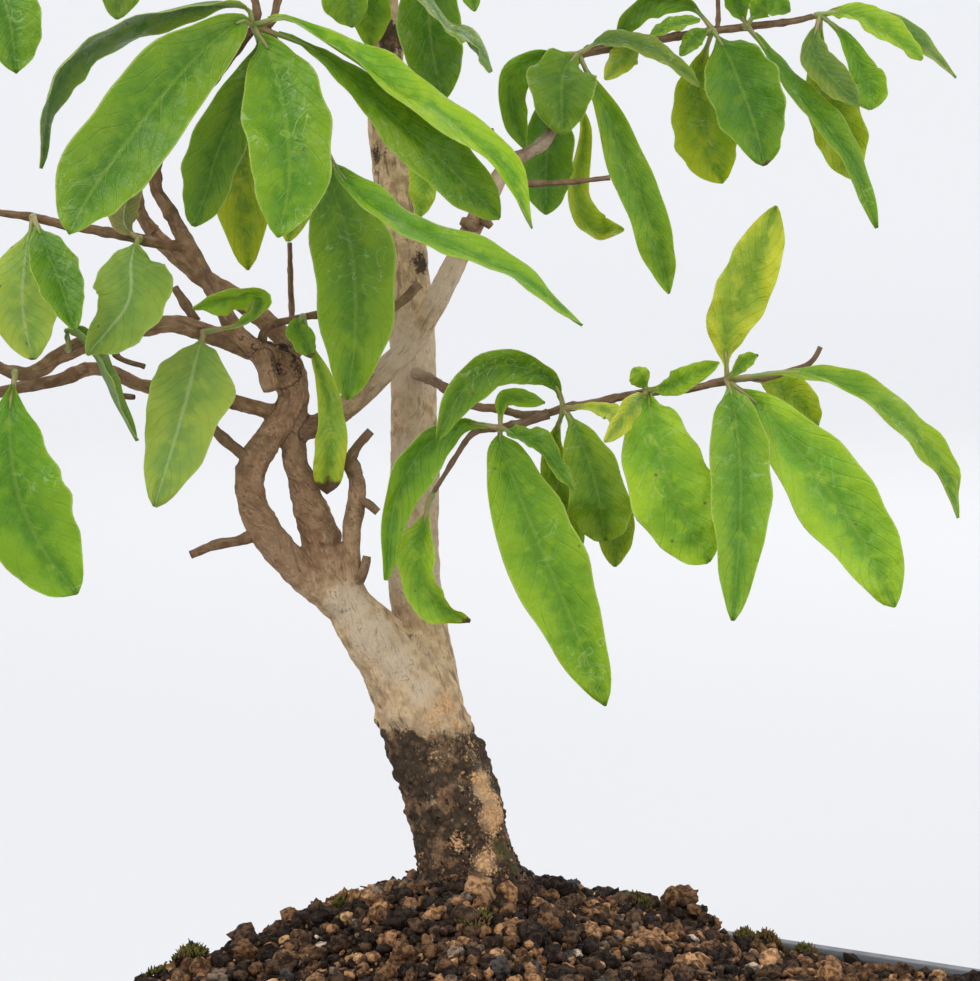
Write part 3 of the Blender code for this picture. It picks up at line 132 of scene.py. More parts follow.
# Each route of wood: x and y in the frame, depth and radius in mm, from its root to its end
WOOD_ROUTES = {
    "trunk": [
        (470, 885, 0, 9.0), (466, 862, 0, 8.3), (459, 830, 0, 7.9), (453, 800, 0, 8.1), (440, 765, 0, 7.7),
        (429, 735, 0, 7.5), (418, 706, 0, 7.5), (408, 684, 0, 6.8), (388, 655, -1, 5.6),
        (368, 630, -2, 4.9), (350, 606, -2, 3.9), (336, 582, -2, 2.6),
    ],
    "back_trunk": [
        (424, 722, 2, 6.0), (431, 690, 3, 5.0), (428, 655, 4, 4.4), (420, 620, 5, 4.6), (413, 560, 6, 4.4),
        (415, 480, 8, 4.2), (414, 400, 9, 4.0), (412, 330, 10, 3.9), (405, 250, 11, 3.8),
        (391, 150, 12, 3.6), (385, 80, 12, 3.3), (388, 30, 12, 2.8), (385, 0, 12, 2.2), (380, -60, 11, 1.9),
        (390, -120, 9, 1.5), (384, -180, 7, 1.2), (388, -235, 6, 0.8),
    ],
    "limb_a": [
        (362, 620, -2, 3.8), (334, 594, -3, 3.5), (305, 575, -4, 3.0), (280, 550, -5, 2.8),
        (262, 525, -6, 2.7), (251, 495, -6, 2.6), (252, 465, -6, 2.5), (268, 440, -6, 2.4),
        (285, 415, -6, 2.4), (294, 393, -6, 2.6), (284, 366, -7, 3.3), (272, 350, -7, 2.6),
    ],
    "limb_b": [
        (348, 604, -1, 4.0), (336, 580, -1, 3.8), (325, 556, -1, 3.6), (318, 530, -2, 3.3),
        (308, 500, -3, 2.8), (298, 470, -4, 2.2), (293, 440, -4, 2.0), (296, 412, -5, 2.1),
        (290, 385, -6, 2.4),
    ],
    "limb_c": [
        (352, 604, -3, 2.2), (352, 575, -4, 1.8), (351, 540, -4, 1.6), (356, 505, -4, 1.6),
        (357, 482, -4, 1.4), (350, 462, -4, 1.2), (345, 455, -4, 1.0),
    ],
    "limb_c_cut": [(349, 462, -4, 0.9), (357, 447, -4, 0.8), (371, 431, -4, 0.8)],
    "limb_c_side": [(356, 500, -4, 0.9), (367, 503, -5, 0.8), (378, 512, -5, 0.7)],
    "limb_c_spur": [(352, 585, -4, 1.2), (363, 572, -5, 0.9), (367, 556, -5, 0.7)],
    "limb_a_stub": [(260, 533, -6, 1.3), (238, 541, -7, 0.9), (215, 545, -8, 0.8), (191, 555, -9, 0.7)],
    "limb_a_knuckle": [(252, 463, -6, 1.2), (240, 452, -7, 1.0), (225, 440, -7, 0.9), (208, 422, -8, 0.8)],
    "nodule": [(318, 540, -3, 1.6), (327, 536, -5, 1.5), (333, 534, -5, 0.9)],
    "front_twig": [
        (284, 372, -8, 2.2), (262, 352, -10, 2.0), (240, 336, -12, 1.9), (222, 308, -13, 1.7),
        (205, 275, -15, 1.6), (186, 243, -18, 1.7), (170, 212, -21, 1.3), (156, 186, -22, 1.2),
        (162, 150, -23, 1.0), (195, 105, -24, 0.9), (230, 60, -27, 0.8), (256, 22, -29, 0.8),
        (252, -10, -29, 0.7), (238, -55, -28, 0.6), (216, -92, -27, 0.5),
    ],
    "front_stub": [(258, 350, -10, 1.9), (266, 368, -12, 1.6), (271, 391, -13, 1.4)],
    "second_shoot": [
        (256, 30, -29, 0.8), (272, 22, -29, 0.7), (278, 0, -29, 0.6), (290, -50, -31, 0.6),
        (306, -96, -33, 0.5),
    ],
    "hidden_twig": [(262, 24, -29, 0.7), (284, 55, -27, 0.6), (306, 105, -26, 0.6), (322, 142, -26, 0.5)],
    "left_twig": [
        (188, 246, -18, 1.1), (165, 245, -19, 0.9), (138, 239, -19, 0.9), (110, 233, -19, 0.8),
        (65, 225, -19, 0.8), (30, 217, -20, 0.7), (0, 213, -20, 0.6), (-50, 203, -22, 0.6),
        (-95, 182, -24, 0.5),
    ],
    "behind_branch": [
        (300, 356, -4, 2.2), (270, 325, -3, 2.1), (240, 300, -2, 2.0), (200, 275, -2, 1.9),
        (160, 240, -3, 1.6), (138, 205, -4, 1.2), (142, 160, -5, 0.9),
    ],
    "behind_stub": [(196, 322, -9, 0.9), (188, 308, -9, 0.8), (175, 288, -8, 0.7)],
    "upper_left": [
        (276, 358, -7, 2.2), (250, 348, -8, 1.9), (214, 336, -9, 1.7), (180, 325, -10, 1.6),
        (155, 326, -11, 1.5), (118, 334, -13, 1.4), (80, 346, -15, 1.5), (60, 356, -16, 1.4),
        (34, 373, -17, 1.2), (8, 371, -18, 1.0), (-25, 356, -20, 0.9), (-70, 350, -23, 0.8),
        (-110, 356, -27, 0.6),
    ],
    "lower_left": [
        (296, 408, -5, 1.7), (270, 411, -5, 1.4), (220, 399, -5, 1.2), (180, 392, -6, 1.1),
        (140, 385, -7, 1.2), (115, 373, -8, 1.2), (90, 369, -9, 1.2), (60, 380, -10, 1.1),
        (28, 386, -10, 1.0), (-20, 396, -10, 0.8), (-70, 398, -9, 0.6),
    ],
    "left_spur_a": [(112, 338, -13, 0.6), (118, 357, -14, 0.5), (145, 367, -15, 0.4)],
    "left_spur_b": [(112, 373, -9, 0.6), (120, 394, -11, 0.5), (135, 397, -12, 0.4)],
    "upright_twig": [(290, 352, -5, 0.7), (292, 318, 2, 0.5), (291, 290, 4, 0.5), (290, 243, 5, 0.4)],
    "green_twig": [
        (262, 342, -9, 0.9), (268, 327, -9, 0.6), (300, 318, -9, 0.6), (340, 312, -9, 0.6),
        (391, 308, -8, 0.8), (420, 284, -8, 0.8),
    ],
    "limb_d": [
        (298, 432, -4, 1.9), (320, 424, -4, 1.9), (345, 409, -3, 2.0), (380, 375, -2, 2.1),
        (410, 345, -1, 2.1), (428, 315, -1, 2.1), (442, 290, -1, 2.0), (457, 260, -1, 1.9),
        (480, 213, 0, 1.7), (506, 168, 2, 1.4), (530, 152, 4, 1.1), (548, 138, 6, 1.0), (564, 98, 11, 0.9),
        (575, 60, 15, 0.9), (600, 50, 17, 0.8), (640, 43, 19, 0.8), (700, 33, 21, 0.7), (740, 28, 22, 0.7),
        (790, 22, 24, 0.6), (812, 17, 25, 0.5),
    ],
    "limb_d_stub": [(504, 172, 2, 1.0), (498, 155, 1, 0.8), (489, 130, 0, 0.7)],
    "limb_d_twig": [(508, 172, 2, 0.8), (520, 183, 1, 0.6), (560, 183, 0, 0.5), (610, 178, 0, 0.4)],
    "limb_d_knob_a": [(476, 228, -1, 1.2), (468, 224, -2, 1.0), (461, 221, -2, 0.7)],
    "limb_d_knob_b": [(482, 216, 0, 1.1), (486, 222, -2, 0.9), (491, 227, -2, 0.6)],
    "upright_shoot": [(716, 34, 22, 0.5), (718, 20, 22, 0.4), (718, -10, 22, 0.4), (722, -45, 22, 0.4)],
    "right_branch": [
        (412, 372, 7, 1.6), (430, 379, 2, 1.2), (450, 391, -4, 1.1), (474, 406, -9, 1.0),
        (500, 409, -12, 0.9), (522, 415, -13, 0.9), (545, 414, -14, 0.9), (565, 408, -14, 0.9),
        (600, 402, -15, 0.9), (625, 396, -16, 0.9), (660, 391, -16, 0.9), (690, 389, -17, 0.8),
        (716, 383, -17, 0.9), (745, 378, -18, 0.8), (766, 378, -18, 0.7), (790, 371, -18, 0.7),
        (806, 366, -18, 0.6), (815, 357, -18, 0.6), (820, 347, -18, 0.6),
    ],
    "right_lower": [
        (548, 414, -14, 0.8), (520, 424, -15, 0.7), (494, 429, -16, 0.6), (477, 431, -16, 0.5),
        (466, 441, -16, 0.5), (447, 471, -16, 0.4), (434, 492, -16, 0.4),
    ],
    "crown_a": [(384, -8, 12, 1.2), (368, -40, 4, 0.8), (352, -68, -4, 0.5)],
    "crown_b": [(382, -30, 12, 1.2), (404, -55, 4, 0.8), (422, -76, -3, 0.5)],
    "crown_c": [(386, -92, 10, 1.1), (430, -128, 20, 0.8), (492, -150, 32, 0.5)],
    "crown_d": [(388, -122, 9, 1.0), (344, -165, -6, 0.7), (296, -188, -20, 0.5)],
    "crown_e": [(382, -62, 11, 1.2), (350, -100, 26, 0.9), (318, -128, 44, 0.5)],
    "crown_f": [(386, -150, 8, 0.9), (436, -196, -8, 0.6), (470, -214, -20, 0.5)],
    "crown_g": [(430, -128, 20, 0.7), (442, -110, 36, 0.6), (450, -96, 56, 0.5)],
    "shoulder_a": [(238, -55, -28, 0.7), (182, -82, -24, 0.6), (150, -104, -18, 0.5)],
    "shoulder_b": [(182, -82, -24, 0.6), (80, -112, -24, 0.6), (-24, -114, -22, 0.5)],
    "shoulder_c": [(290, -50, -31, 0.6), (310, -72, -46, 0.5), (322, -104, -58, 0.4)],
    "far_left_a": [(-25, 356, -20, 0.8), (-60, 322, -32, 0.6), (-84, 300, -44, 0.5)],
    "far_left_b": [(-20, 396, -10, 0.7), (-58, 430, 4, 0.6), (-84, 446, 16, 0.5)],
}

NEAR = 1.0
FAR = -1.0

# Each cluster: its route, its place on it with the side it sits on, and its leaves.
# Each leaf of a cluster: its midrib from the hub to the tip (x, y, depth), width in mm, how far it is turned
# from facing the viewer at its base and at its tip, its fold, where along it it is widest, and its tone
PHOTO_CLUSTERS = {
    "leaves_top_left": ("front_twig", (260, 28, NEAR), [
        ([(245, 8, -32), (200, 6, -34), (150, 17, -36), (100, 40, -37), (64, 68, -38), (48, 108, -38),
          (42, 169, -38)], 10.5, 78, 74, 20, 0.50, "grey"),
        ([(238, 26, -33), (190, 72, -35), (140, 138, -37), (100, 198, -38), (80, 241, -38)],
         14.4, 6, -6, 12, 0.56, "dark"),
        ([(262, 60, -30), (226, 132, -27), (208, 186, -26), (195, 227, -25)],
         10.0, -10, -20, 14, 0.55, "dark"),
        ([(272, 58, -33), (286, 118, -35), (291, 180, -36), (280, 240, -36)], 14.4, 4, 4, 10, 0.50, "mid"),
        ([(263, 62, -29), (244, 116, -23), (238, 180, -20), (244, 266, -19)],
         11.0, -8, 8, 12, 0.64, "yellow"),
        ([(286, 110, -25), (297, 176, -23), (290, 244, -22)], 7.8, 0, 20, 16, 0.66, "yellow"),
        ([(292, 20, -34), (350, 54, -32), (400, 88, -30), (450, 122, -28), (502, 166, -26),
          (532, 229, -25)], 8.8, 52, 44, 16, 0.52, "light"),
        ([(320, 52, -33), (370, 94, -34), (420, 138, -34), (464, 178, -33), (500, 213, -32)],
         9.8, 52, 0, 10, 0.66, "mid"),
    ]),
    "leaves_under_top": ("hidden_twig", None, [
        ([(331, 182, -26), (350, 248, -25), (354, 322, -25), (345, 398, -26)], 14.4, 2, -8, 12, 0.52, "mid"),
        ([(346, 180, -33), (396, 222, -34), (460, 250, -33), (524, 281, -31), (582, 326, -30)],
         9.6, 48, 66, 18, 0.44, "mid"),
    ]),
    "leaf_on_trunk": ("back_trunk", (404, 140, NEAR), [
        ([(418, 160, 3), (423, 188, 2), (420, 217, 2)], 5.2, 0, 0, 10, 0.55, "pale"),
    ]),
    "leaves_crown_front": ("crown_b", None, [
        ([(428, -30, -9), (431, 40, -13), (443, 102, -14)], 10.8, 0, 0, 12, 0.62, "dark"),
        ([(410, -35, -16), (441, 22, -20), (470, 42, -20), (492, 72, -20)], 8.0, 74, 66, 10, 0.52, "grey"),
        ([(458, -45, -6), (475, 8, -7)], 6.5, 30, 30, 12, 0.55, "mid"),
    ]),
    "leaves_crown_side": ("crown_a", None, [
        ([(344, -20, -10), (352, 28, -12)], 8.6, 10, 0, 12, 0.6, "mid"),
        ([(368, -15, -6), (370, 45, -6)], 7.6, -20, 0, 12, 0.6, "light"),
    ]),
    "leaves_shoulder_left": ("shoulder_b", None, [
        ([(-8, -40, -22), (10, 20, -24), (17, 74, -25)], 11.0, 10, 10, 14, 0.6, "dark"),
    ]),
    "leaves_shoulder": ("shoulder_a", None, [
        ([(126, -50, -13), (117, 20, -12)], 9.0, 16, 10, 14, 0.62, "grey"),
    ]),
    "leaves_left_twig": ("left_twig", (35, 219, NEAR), [
        ([(27, 255, -24), (24, 310, -25), (34, 360, -25)], 11.6, 170, 176, 12, 0.52, "pale"),
        ([(50, 250, -23), (70, 294, -23), (85, 334, -23)], 8.0, 24, 10, 18, 0.50, "dark"),
    ]),
    "leaves_mid_twig": ("left_twig", (140, 240, NEAR), [
        ([(132, 262, -24), (128, 305, -26), (88, 356, -27)], 13.2, 176, 160, 14, 0.45, "light"),
        ([(128, 228, -17), (132, 208, -13), (150, 184, -12)], 5.0, 170, 170, 14, 0.5, "brown"),
    ]),
    "leaves_forked": ("upper_left", (206, 334, NEAR), [
        ([(196, 364, -15), (180, 425, -17), (155, 507, -18)], 13.8, 172, 176, 10, 0.42, "pale"),
        ([(250, 322, -14), (262, 300, -14), (232, 302, -13), (200, 313, -12)], 6.0, 52, 52, 14, 0.6, "mid"),
    ]),
    "leaves_far_left": ("upper_left", (12, 371, NEAR), [
        ([(10, 420, -24), (18, 490, -26), (44, 550, -27), (78, 594, -27)], 16.0, 6, -6, 10, 0.52, "mid"),
    ]),
    "leaf_edge_on": ("upper_left", (68, 352, NEAR), [
        ([(67, 330, -22), (80, 338, -25), (98, 364, -26), (110, 396, -26), (130, 440, -25)],
         6.5, 80, 84, 20, 0.5, "grey"),
    ]),
    "leaves_withered": ("green_twig", (303, 317, NEAR), [
        ([(297, 327, -13), (304, 342, -14), (312, 358, -14)], 4.6, 10, 10, 20, 0.5, "dark"),
        ([(312, 350, -13), (324, 385, -14), (330, 424, -14), (327, 460, -14), (325, 494, -13)],
         6.0, 20, 10, 24, 0.8, "pale"),
    ]),
    "leaves_right_first": ("right_lower", (495, 429, NEAR), [
        ([(462, 424, -18), (422, 452, -20), (396, 500, -21), (386, 580, -22)], 8.2, 44, 30, 22, 0.5, "mid"),
        ([(503, 450, -18), (530, 522, -20), (565, 604, -21), (605, 706, -20)], 12.8, 2, -2, 8, 0.58, "mid"),
        ([(506, 399, -17), (545, 403, -17)], 3.4, 20, 20, 12, 0.6, "mid"),
        ([(516, 434, -18), (542, 448, -17), (571, 490, -16)], 5.0, 50, 40, 16, 0.55, "dark"),
    ]),
    "leaf_twig_end": ("right_lower", None, [
        ([(423, 530, -18), (419, 565, -19), (434, 602, -19), (470, 622, -18)],
         7.6, -14, -36, 22, 0.45, "light"),
    ]),
    "leaves_right_second": ("right_branch", (562, 409, NEAR), [
        ([(556, 386, -18), (530, 369, -20), (492, 368, -22), (461, 394, -23), (437, 440, -24)],
         6.8, 30, 20, 12, 0.6, "dark"),
        ([(580, 438, -20), (598, 492, -21), (606, 541, -18)], 10.8, -4, -12, 16, 0.72, "mid"),
        ([(553, 450, -10), (562, 505, -9), (580, 552, -8)], 6.0, 10, 0, 12, 0.6, "yellow"),
        ([(592, 450, -12), (614, 515, -11), (615, 567, -11)], 6.6, 0, 0, 12, 0.7, "yellow"),
        ([(594, 408, -18), (612, 416, -18), (613, 432, -18)], 3.6, 30, 10, 10, 0.7, "pale"),
    ]),
    "leaves_right_third": ("right_branch", (648, 393, NEAR), [
        ([(650, 412, -22), (664, 470, -24), (690, 530, -24), (709, 562, -23)],
         13.8, 2, -12, 12, 0.5, "light"),
        ([(640, 378, -20), (633, 368, -20)], 3.6, 0, 0, 10, 0.5, "light"),
        ([(676, 384, -21), (713, 366, -21)], 4.4, 20, 20, 12, 0.5, "light"),
        ([(630, 408, -23), (602, 443, -25)], 4.2, 30, 30, 12, 0.6, "pale"),
    ]),
    "leaves_right_fourth": ("right_branch", (731, 380, NEAR), [
        ([(727, 330, -22), (753, 270, -24), (776, 206, -25)], 9.4, 0, 0, 14, 0.5, "pale"),
        ([(734, 412, -24), (740, 500, -26), (731, 620, -27)], 10.2, -6, 6, 16, 0.55, "mid"),
        ([(766, 412, -25), (824, 482, -27), (870, 550, -28), (898, 608, -28)], 13.0, -2, 4, 10, 0.5, "light"),
        ([(800, 372, -22), (855, 390, -22), (908, 428, -22), (942, 472, -22), (958, 518, -22)],
         7.6, 50, 42, 16, 0.5, "mid"),
        ([(742, 364, -23), (756, 356, -24)], 2.8, 20, 20, 8, 0.5, "light"),
    ]),
    "leaf_behind": ("right_branch", (752, 377, FAR), [
        ([(772, 386, -13), (796, 400, -12), (818, 426, -11)], 6.8, 20, 10, 12, 0.55, "yellow"),
    ]),
    "leaves_far_first": ("limb_d", (573, 62, NEAR), [
        ([(565, 70, 10), (561, 96, 8), (562, 138, 8)], 12.2, 0, 0, 10, 0.5, "dark"),
        ([(540, 57, 13), (514, 78, 13), (513, 115, 14), (526, 150, 15)], 5.6, 20, 10, 14, 0.5, "mid"),
        ([(600, 100, 13), (634, 180, 12), (656, 245, 12), (669, 294, 13)], 7.4, 10, 0, 14, 0.5, "mid"),
        ([(610, 40, 13), (655, 52, 12), (700, 86, 11)], 5.4, 44, 40, 12, 0.5, "grey"),
    ]),
    "leaves_far_behind": ("limb_d", (570, 78, FAR), [
        ([(552, 112, 18), (546, 170, 20), (546, 215, 20)], 9.6, 10, 10, 14, 0.6, "dark"),
        ([(584, 125, 22), (576, 195, 25), (596, 230, 25), (624, 230, 24)], 6.0, 20, 40, 16, 0.75, "yellow"),
    ]),
    "leaves_far_second": ("limb_d", (641, 43, NEAR), [
        ([(626, 54, 16), (605, 80, 15)], 5.0, 20, 10, 10, 0.5, "pale"),
        ([(668, 27, 16), (700, 20, 15)], 4.0, 40, 40, 10, 0.5, "mid"),
    ]),
    "leaves_far_third": ("limb_d", (710, 32, NEAR), [
        ([(690, 5, 19), (655, 1, 18), (630, 18, 17), (617, 43, 17)], 5.2, 30, 30, 12, 0.5, "mid"),
        ([(730, 60, 17), (750, 112, 16), (765, 166, 16)], 13.6, 0, 8, 14, 0.5, "dark"),
        ([(697, 85, 24), (706, 140, 25), (722, 184, 25)], 11.4, 0, 0, 12, 0.6, "yellow"),
        ([(695, 38, 18), (680, 56, 17)], 3.4, 10, 10, 10, 0.5, "mid"),
    ]),
    "leaves_far_fourth": ("limb_d", (742, 28, NEAR), [
        ([(772, 58, 19), (812, 108, 18), (850, 158, 17), (877, 228, 17)], 6.4, 44, 30, 14, 0.5, "dark"),
        ([(766, 5, 19), (790, 12, 18)], 6.0, 20, 20, 12, 0.5, "mid"),
        ([(735, 5, 20), (742, -24, 19)], 5.0, 20, 20, 12, 0.5, "mid"),
    ]),
    "leaves_far_fifth": ("limb_d", None, [
        ([(822, 75, 27), (838, 130, 28), (853, 180, 28)], 9.8, 0, 0, 12, 0.6, "yellow"),
        ([(812, 50, 22), (832, 82, 21), (858, 108, 20)], 6.6, 20, 10, 12, 0.5, "grey"),
        ([(844, 37, 24), (862, 72, 23), (868, 84, 23), (870, 110, 22)], 6.8, 0, 0, 8, 0.84, "mid"),
        ([(852, 14, 23), (890, 34, 22), (922, 60, 21)], 6.4, 40, 30, 14, 0.5, "light"),
        ([(862, 10, 27), (912, 36, 26), (957, 77, 25)], 4.8, 40, 40, 12, 0.5, "grey"),
    ]),
}

# The clusters past the frame's edge grow at these ends of routes: how many leaves each one bears
GROWN_CLUSTERS = {
    "leaves_leader": ("back_trunk", 5),
    "leaves_grown_a": ("front_twig", 4),
    "leaves_grown_b": ("second_shoot", 4),
    "leaves_grown_c": ("left_twig", 3),
    "leaves_grown_d": ("upper_left", 4),
    "leaves_grown_e": ("lower_left", 3),
    "leaves_grown_f": ("crown_c", 4),
    "leaves_grown_g": ("crown_d", 4),
    "leaves_grown_h": ("crown_e", 4),
    "leaves_grown_i": ("crown_f", 4),
    "leaves_grown_j": ("crown_g", 3),
    "leaves_grown_k": ("shoulder_c", 4),
    "leaves_grown_l": ("far_left_a", 3),
    "leaves_grown_m": ("far_left_b", 3),
    "leaves_grown_n": ("upright_shoot", 3),
}
GROWN_TRIES = 60
GROWN_LENGTH = (30.0, 46.0)
GROWN_WIDTH = (8.5, 12.5)
GROWN_SPREAD = (25.0, 85.0)
GROWN_DROOP = (0.10, 0.42)
GROWN_TURN = 25.0
GROWN_TWIST = 20.0
GROWN_FOLD = (8.0, 20.0)
GROWN_WIDEST = 0.52
GROWN_SEED = 41
GROWN_SPARE = 0.8
FRAME_MARGIN = 12.0

# The one body, and the steps round each corner of the pot
ROOT_BODY = "root"
CORNER_STEPS = 14

# The blades: their grid, then their thickness, waves, ripples and midrib in mm or as shares of their width
BLADE_SEED = 11
BLADE_ROWS = 34
BLADE_COLUMNS = 13
FINE_BLADE_THICK = 0.34
MARGIN_WAVE = 0.065
PUCKER = 0.5
EDGE_RIPPLE = 0.16
MIDRIB_GROOVE = 0.16
MIDRIB_KEEL = 0.34
MIDRIB_HALF = 0.42
# Where along a blade its dead tip may start. Past 1 it has none
DEAD_FROM = (1.2, 1.2, 1.2, 1.2, 1.2, 0.99)

# The stalks: their thickness at the hub, and the shares of a leaf's length that they pass through
STALK_RADIUS = 0.5
STALK_SIDES = 8
STALK_SHARES = (0.05, 0.075, 0.1, 0.14, 0.2)
STALK_SIZES = (1.2, 1.05, 0.95, 0.88, 0.8, 0.66, 0.4)
BUD_RADIUS = 0.85

# The bark: the least radius of a limb that it covers, its mesh, and the routes that are drawn slimmer
THICK_ENOUGH = 1.15
SHORTEST_LIMB = 2
TWIG_OVERLAP = 3
BARK_VOXEL = 0.42
BARK_RINGS = 0.8
BARK_SIDES = 28
SLIMMER = {"front_twig": 0.85, "behind_branch": 0.85, "right_branch": 0.75}

# The grain of the bark: the trunk's own direction up to a height, how far it is squeezed, and a step by route
TRUNK_LEAN = Vector((-0.38, -0.05, 0.92))
LEAN_TOP = 80.0
LEAN_FADE = 20.0
GRAIN_SQUEEZE = 0.2
ROUTE_STEP = 37.0

# How rough the bark is: by height over the trunk's foot, round the knot, and by the limb's radius
KNOT = (281, 362, -7)
KNOT_REACH = 9.0
ROUGH_BELOW = 36.0
ROUGH_FADE = 8.0
ROUGH_MOST = 1.3
ROUGH_LEAST = 0.16
KNOBBLY = 0.75
TRUNK_FROM = 3.0
LIMB_BELOW = 4.6
SLIM_BELOW = 2.4
SLIM_FADE = 0.7

# The browner bark: left of a pixel of the frame, and over a height
BROWN_SIDE = 345.0
BROWN_SIDE_FADE = 30.0
BROWN_FROM = 45.0
BROWN_FADE = 10.0

# The twigs, which swell at each node
TWIG_SEED = 5
TWIG_SIDES = 9
TWIG_NODE_SPACING = 6.5
TWIG_SWELL = 0.22
TWIG_SWELL_REACH = 0.9
TWIG_BROWN = 0.85

# The bed under the granules, and where the photograph's soil drops between two pixels across
BED_AROUND = 26
BED_RINGS = 46
BED_DEPTH = 16.0
BED_DROP = 0.8
BED_NEAREST = -90.0
BED_STEPS = 400
DROP_START = 704.0
DROP_WIDTH = 16.0
DROP_END = 830.0
DROP_END_WIDTH = 80.0
RIGHT_DROP = 2.4
WALL_DIP = 1.2

# What the bark shows beside its grey-brown: x and y in the frame, depth, reach in mm, and how strong it is
PALE_BARK = (
    (350, 606, -6, 5.0, 0.9), (372, 636, -7, 5.0, 1.0), (398, 664, -8, 5.0, 1.0), (424, 688, -8, 4.5, 0.9),
    (412, 560, 3, 11.0, 0.8), (415, 470, 4, 11.0, 0.8), (410, 350, 6, 11.0, 0.8), (445, 280, -3, 8.0, 0.8),
    (400, 352, -3, 8.0, 0.8), (500, 180, -1, 6.0, 0.7), (540, 145, 3, 6.0, 0.7), (206, 250, -8, 3.0, 0.5),
    (176, 215, -9, 2.5, 0.4), (232, 330, -10, 2.5, 0.35), (316, 500, -7, 3.0, 0.4), (262, 480, -9, 2.0, 0.3),
)
TAN_BARK = (
    (448, 704, -7, 4.6, 0.6), (464, 722, -7, 3.6, 0.6), (492, 785, -6, 3.6, 1.0), (497, 815, -6, 3.4, 1.0),
    (440, 750, -8, 3.0, 0.4), (430, 800, -8, 2.0, 0.3), (458, 845, -9, 2.6, 0.5), (485, 862, -8, 2.6, 0.7),
    (425, 716, -7, 3.0, 0.5), (484, 750, -6, 3.0, 0.8), (436, 862, -9, 2.2, 0.4),
)
# The patches at (388, 604) and (410, 640) are painted shade in the crotch where the trunk forks. The others
# are dark knots and dark bark.
DARK_BARK = (
    (390, 40, 8, 4.0, 0.9), (370, 155, 9, 2.2, 0.8), (425, 262, 7, 2.6, 0.8), (281, 360, -9, 5.0, 0.5),
    (262, 345, -11, 4.0, 0.4), (388, 604, 1, 3.0, 0.3), (410, 640, -2, 2.4, 0.25), (256, 500, -9, 3.0, 0.2),
)
MOSSY_BARK = (
    (511, 845, -5, 3.2, 1.0), (518, 868, -4, 2.6, 0.7), (408, 829, -4, 2.0, 0.4), (425, 872, -8, 3.0, 0.5),
)
STAIN_TOP = 29.5
STAIN_FADE = 4.5
STAIN_REACH = 40.0
STAIN_STRENGTH = 0.75

# Tufts of moss on the soil: x and y of the foot in the frame, radius, how many shoots, and how high they heap
MOSS_TUFTS = (
    (770, 943, 3.4, 420, 2.4), (808, 950, 2.7, 300, 1.8), (745, 944, 2.0, 160, 1.2),
    (190, 958, 3.0, 300, 0.8), (345, 906, 2.2, 120, 0.0), (474, 925, 3.0, 130, 0.0),
    (152, 978, 2.2, 120, 0.4), (640, 906, 2.0, 70, 0.0),
)
MOSS_FROM_WALL = 2.5

# The granules: name, spacing in mm, smallest and largest radius in mm, smoothness of the ball and share kept
GRANULES = (
    ("soil_clods", 6.8, 1.5, 2.6, 3, 0.70),
    ("soil_granules", 2.9, 0.95, 1.65, 2, 0.92),
    ("soil_fines", 1.75, 0.42, 0.85, 1, 0.85),
)
GRANULE_SHAPES = 14
ROW_SPACING = 0.87
TRUNK_CLEAR = 7.5
GRANULE_TONES = (
    ((0.026, 0.018, 0.014), 0.34), ((0.070, 0.042, 0.026), 0.24), ((0.15, 0.080, 0.040), 0.18),
    ((0.27, 0.145, 0.070), 0.12), ((0.38, 0.22, 0.11), 0.06), ((0.17, 0.125, 0.090), 0.04),
    ((0.048, 0.044, 0.042), 0.015), ((0.50, 0.40, 0.30), 0.005),
)
SOIL_SEED = 7
TRUNK_GRAINS = 1500
TRUNK_GRAIN_TOP = 24.0
TRUNK_GRAIN_SINK = 2.0
DEBRIS = 90
DEBRIS_SIDES = 5
DEBRIS_FROM_WALL = 8.0
DEBRIS_FROM_TRUNK = 12.0

# The blades' base colours by tone, and how often the blades past the frame have each
LEAF_TONES = {
    "mid": (0.118, 0.255, 0.012), "dark": (0.080, 0.190, 0.009), "light": (0.170, 0.320, 0.016),
    "yellow": (0.215, 0.325, 0.012), "pale": (0.245, 0.370, 0.030), "grey": (0.105, 0.200, 0.035),
    "brown": (0.210, 0.135, 0.045),
}
GROWN_TONES = ("mid", "mid", "dark", "light", "mid")
DEAD_TIPS = {"leaf_twig_end": 0.955, "leaves_withered": 0.90}

# The room round the object
# Painted shade: the floor near the object is darker and the far wall paler, which evens out the lamps'
# stronger light on the floor near the object.
STAGE_NEAR = (0.62, 0.62, 0.635)
STAGE_FAR = (0.86, 0.86, 0.875)
FLOOR_REACH = 3.0
WALL_HEIGHT = 3.2
BEND_RADIUS = 1.2
# Each light: its direction from the tree as right, ahead and up, its distance and size in metres, its power
# and its colour
LIGHTS = (
    ("key", (-0.55, -0.55, 0.95), 1.3, 0.9, 8.5, (1.0, 0.985, 0.96)),
    ("fill", (0.9, -0.5, 0.35), 1.5, 1.2, 5.0, (0.96, 0.98, 1.0)),
    ("back", (0.35, 0.9, 0.8), 1.5, 1.0, 5.0, (1.0, 1.0, 1.0)),
)
LIGHT_AIM = Vector((-30.0, 0.0, 150.0))
WORLD_LIGHT = 1.0
SENSOR_WIDTH = 36.0


def seen(x, y, depth):
    """The place, in mm, of a point of the frame at a depth behind the trunk's foot."""
    across = VIEW_RIGHT * ((x - FRAME_CENTRE[0]) / PIXELS_PER_SLOPE)
    down = VIEW_UP * ((y - FRAME_CENTRE[1]) / PIXELS_PER_SLOPE)
    return EYE + (VIEW_AHEAD + across - down) * (VIEW_DISTANCE + depth)


def in_pixels(place):
    """Where the frame shows a place."""
    ray = place - EYE
    scale = PIXELS_PER_SLOPE / ray.dot(VIEW_AHEAD)
    return Vector((FRAME_CENTRE[0] + ray.dot(VIEW_RIGHT) * scale, FRAME_CENTRE[1] - ray.dot(VIEW_UP) * scale))


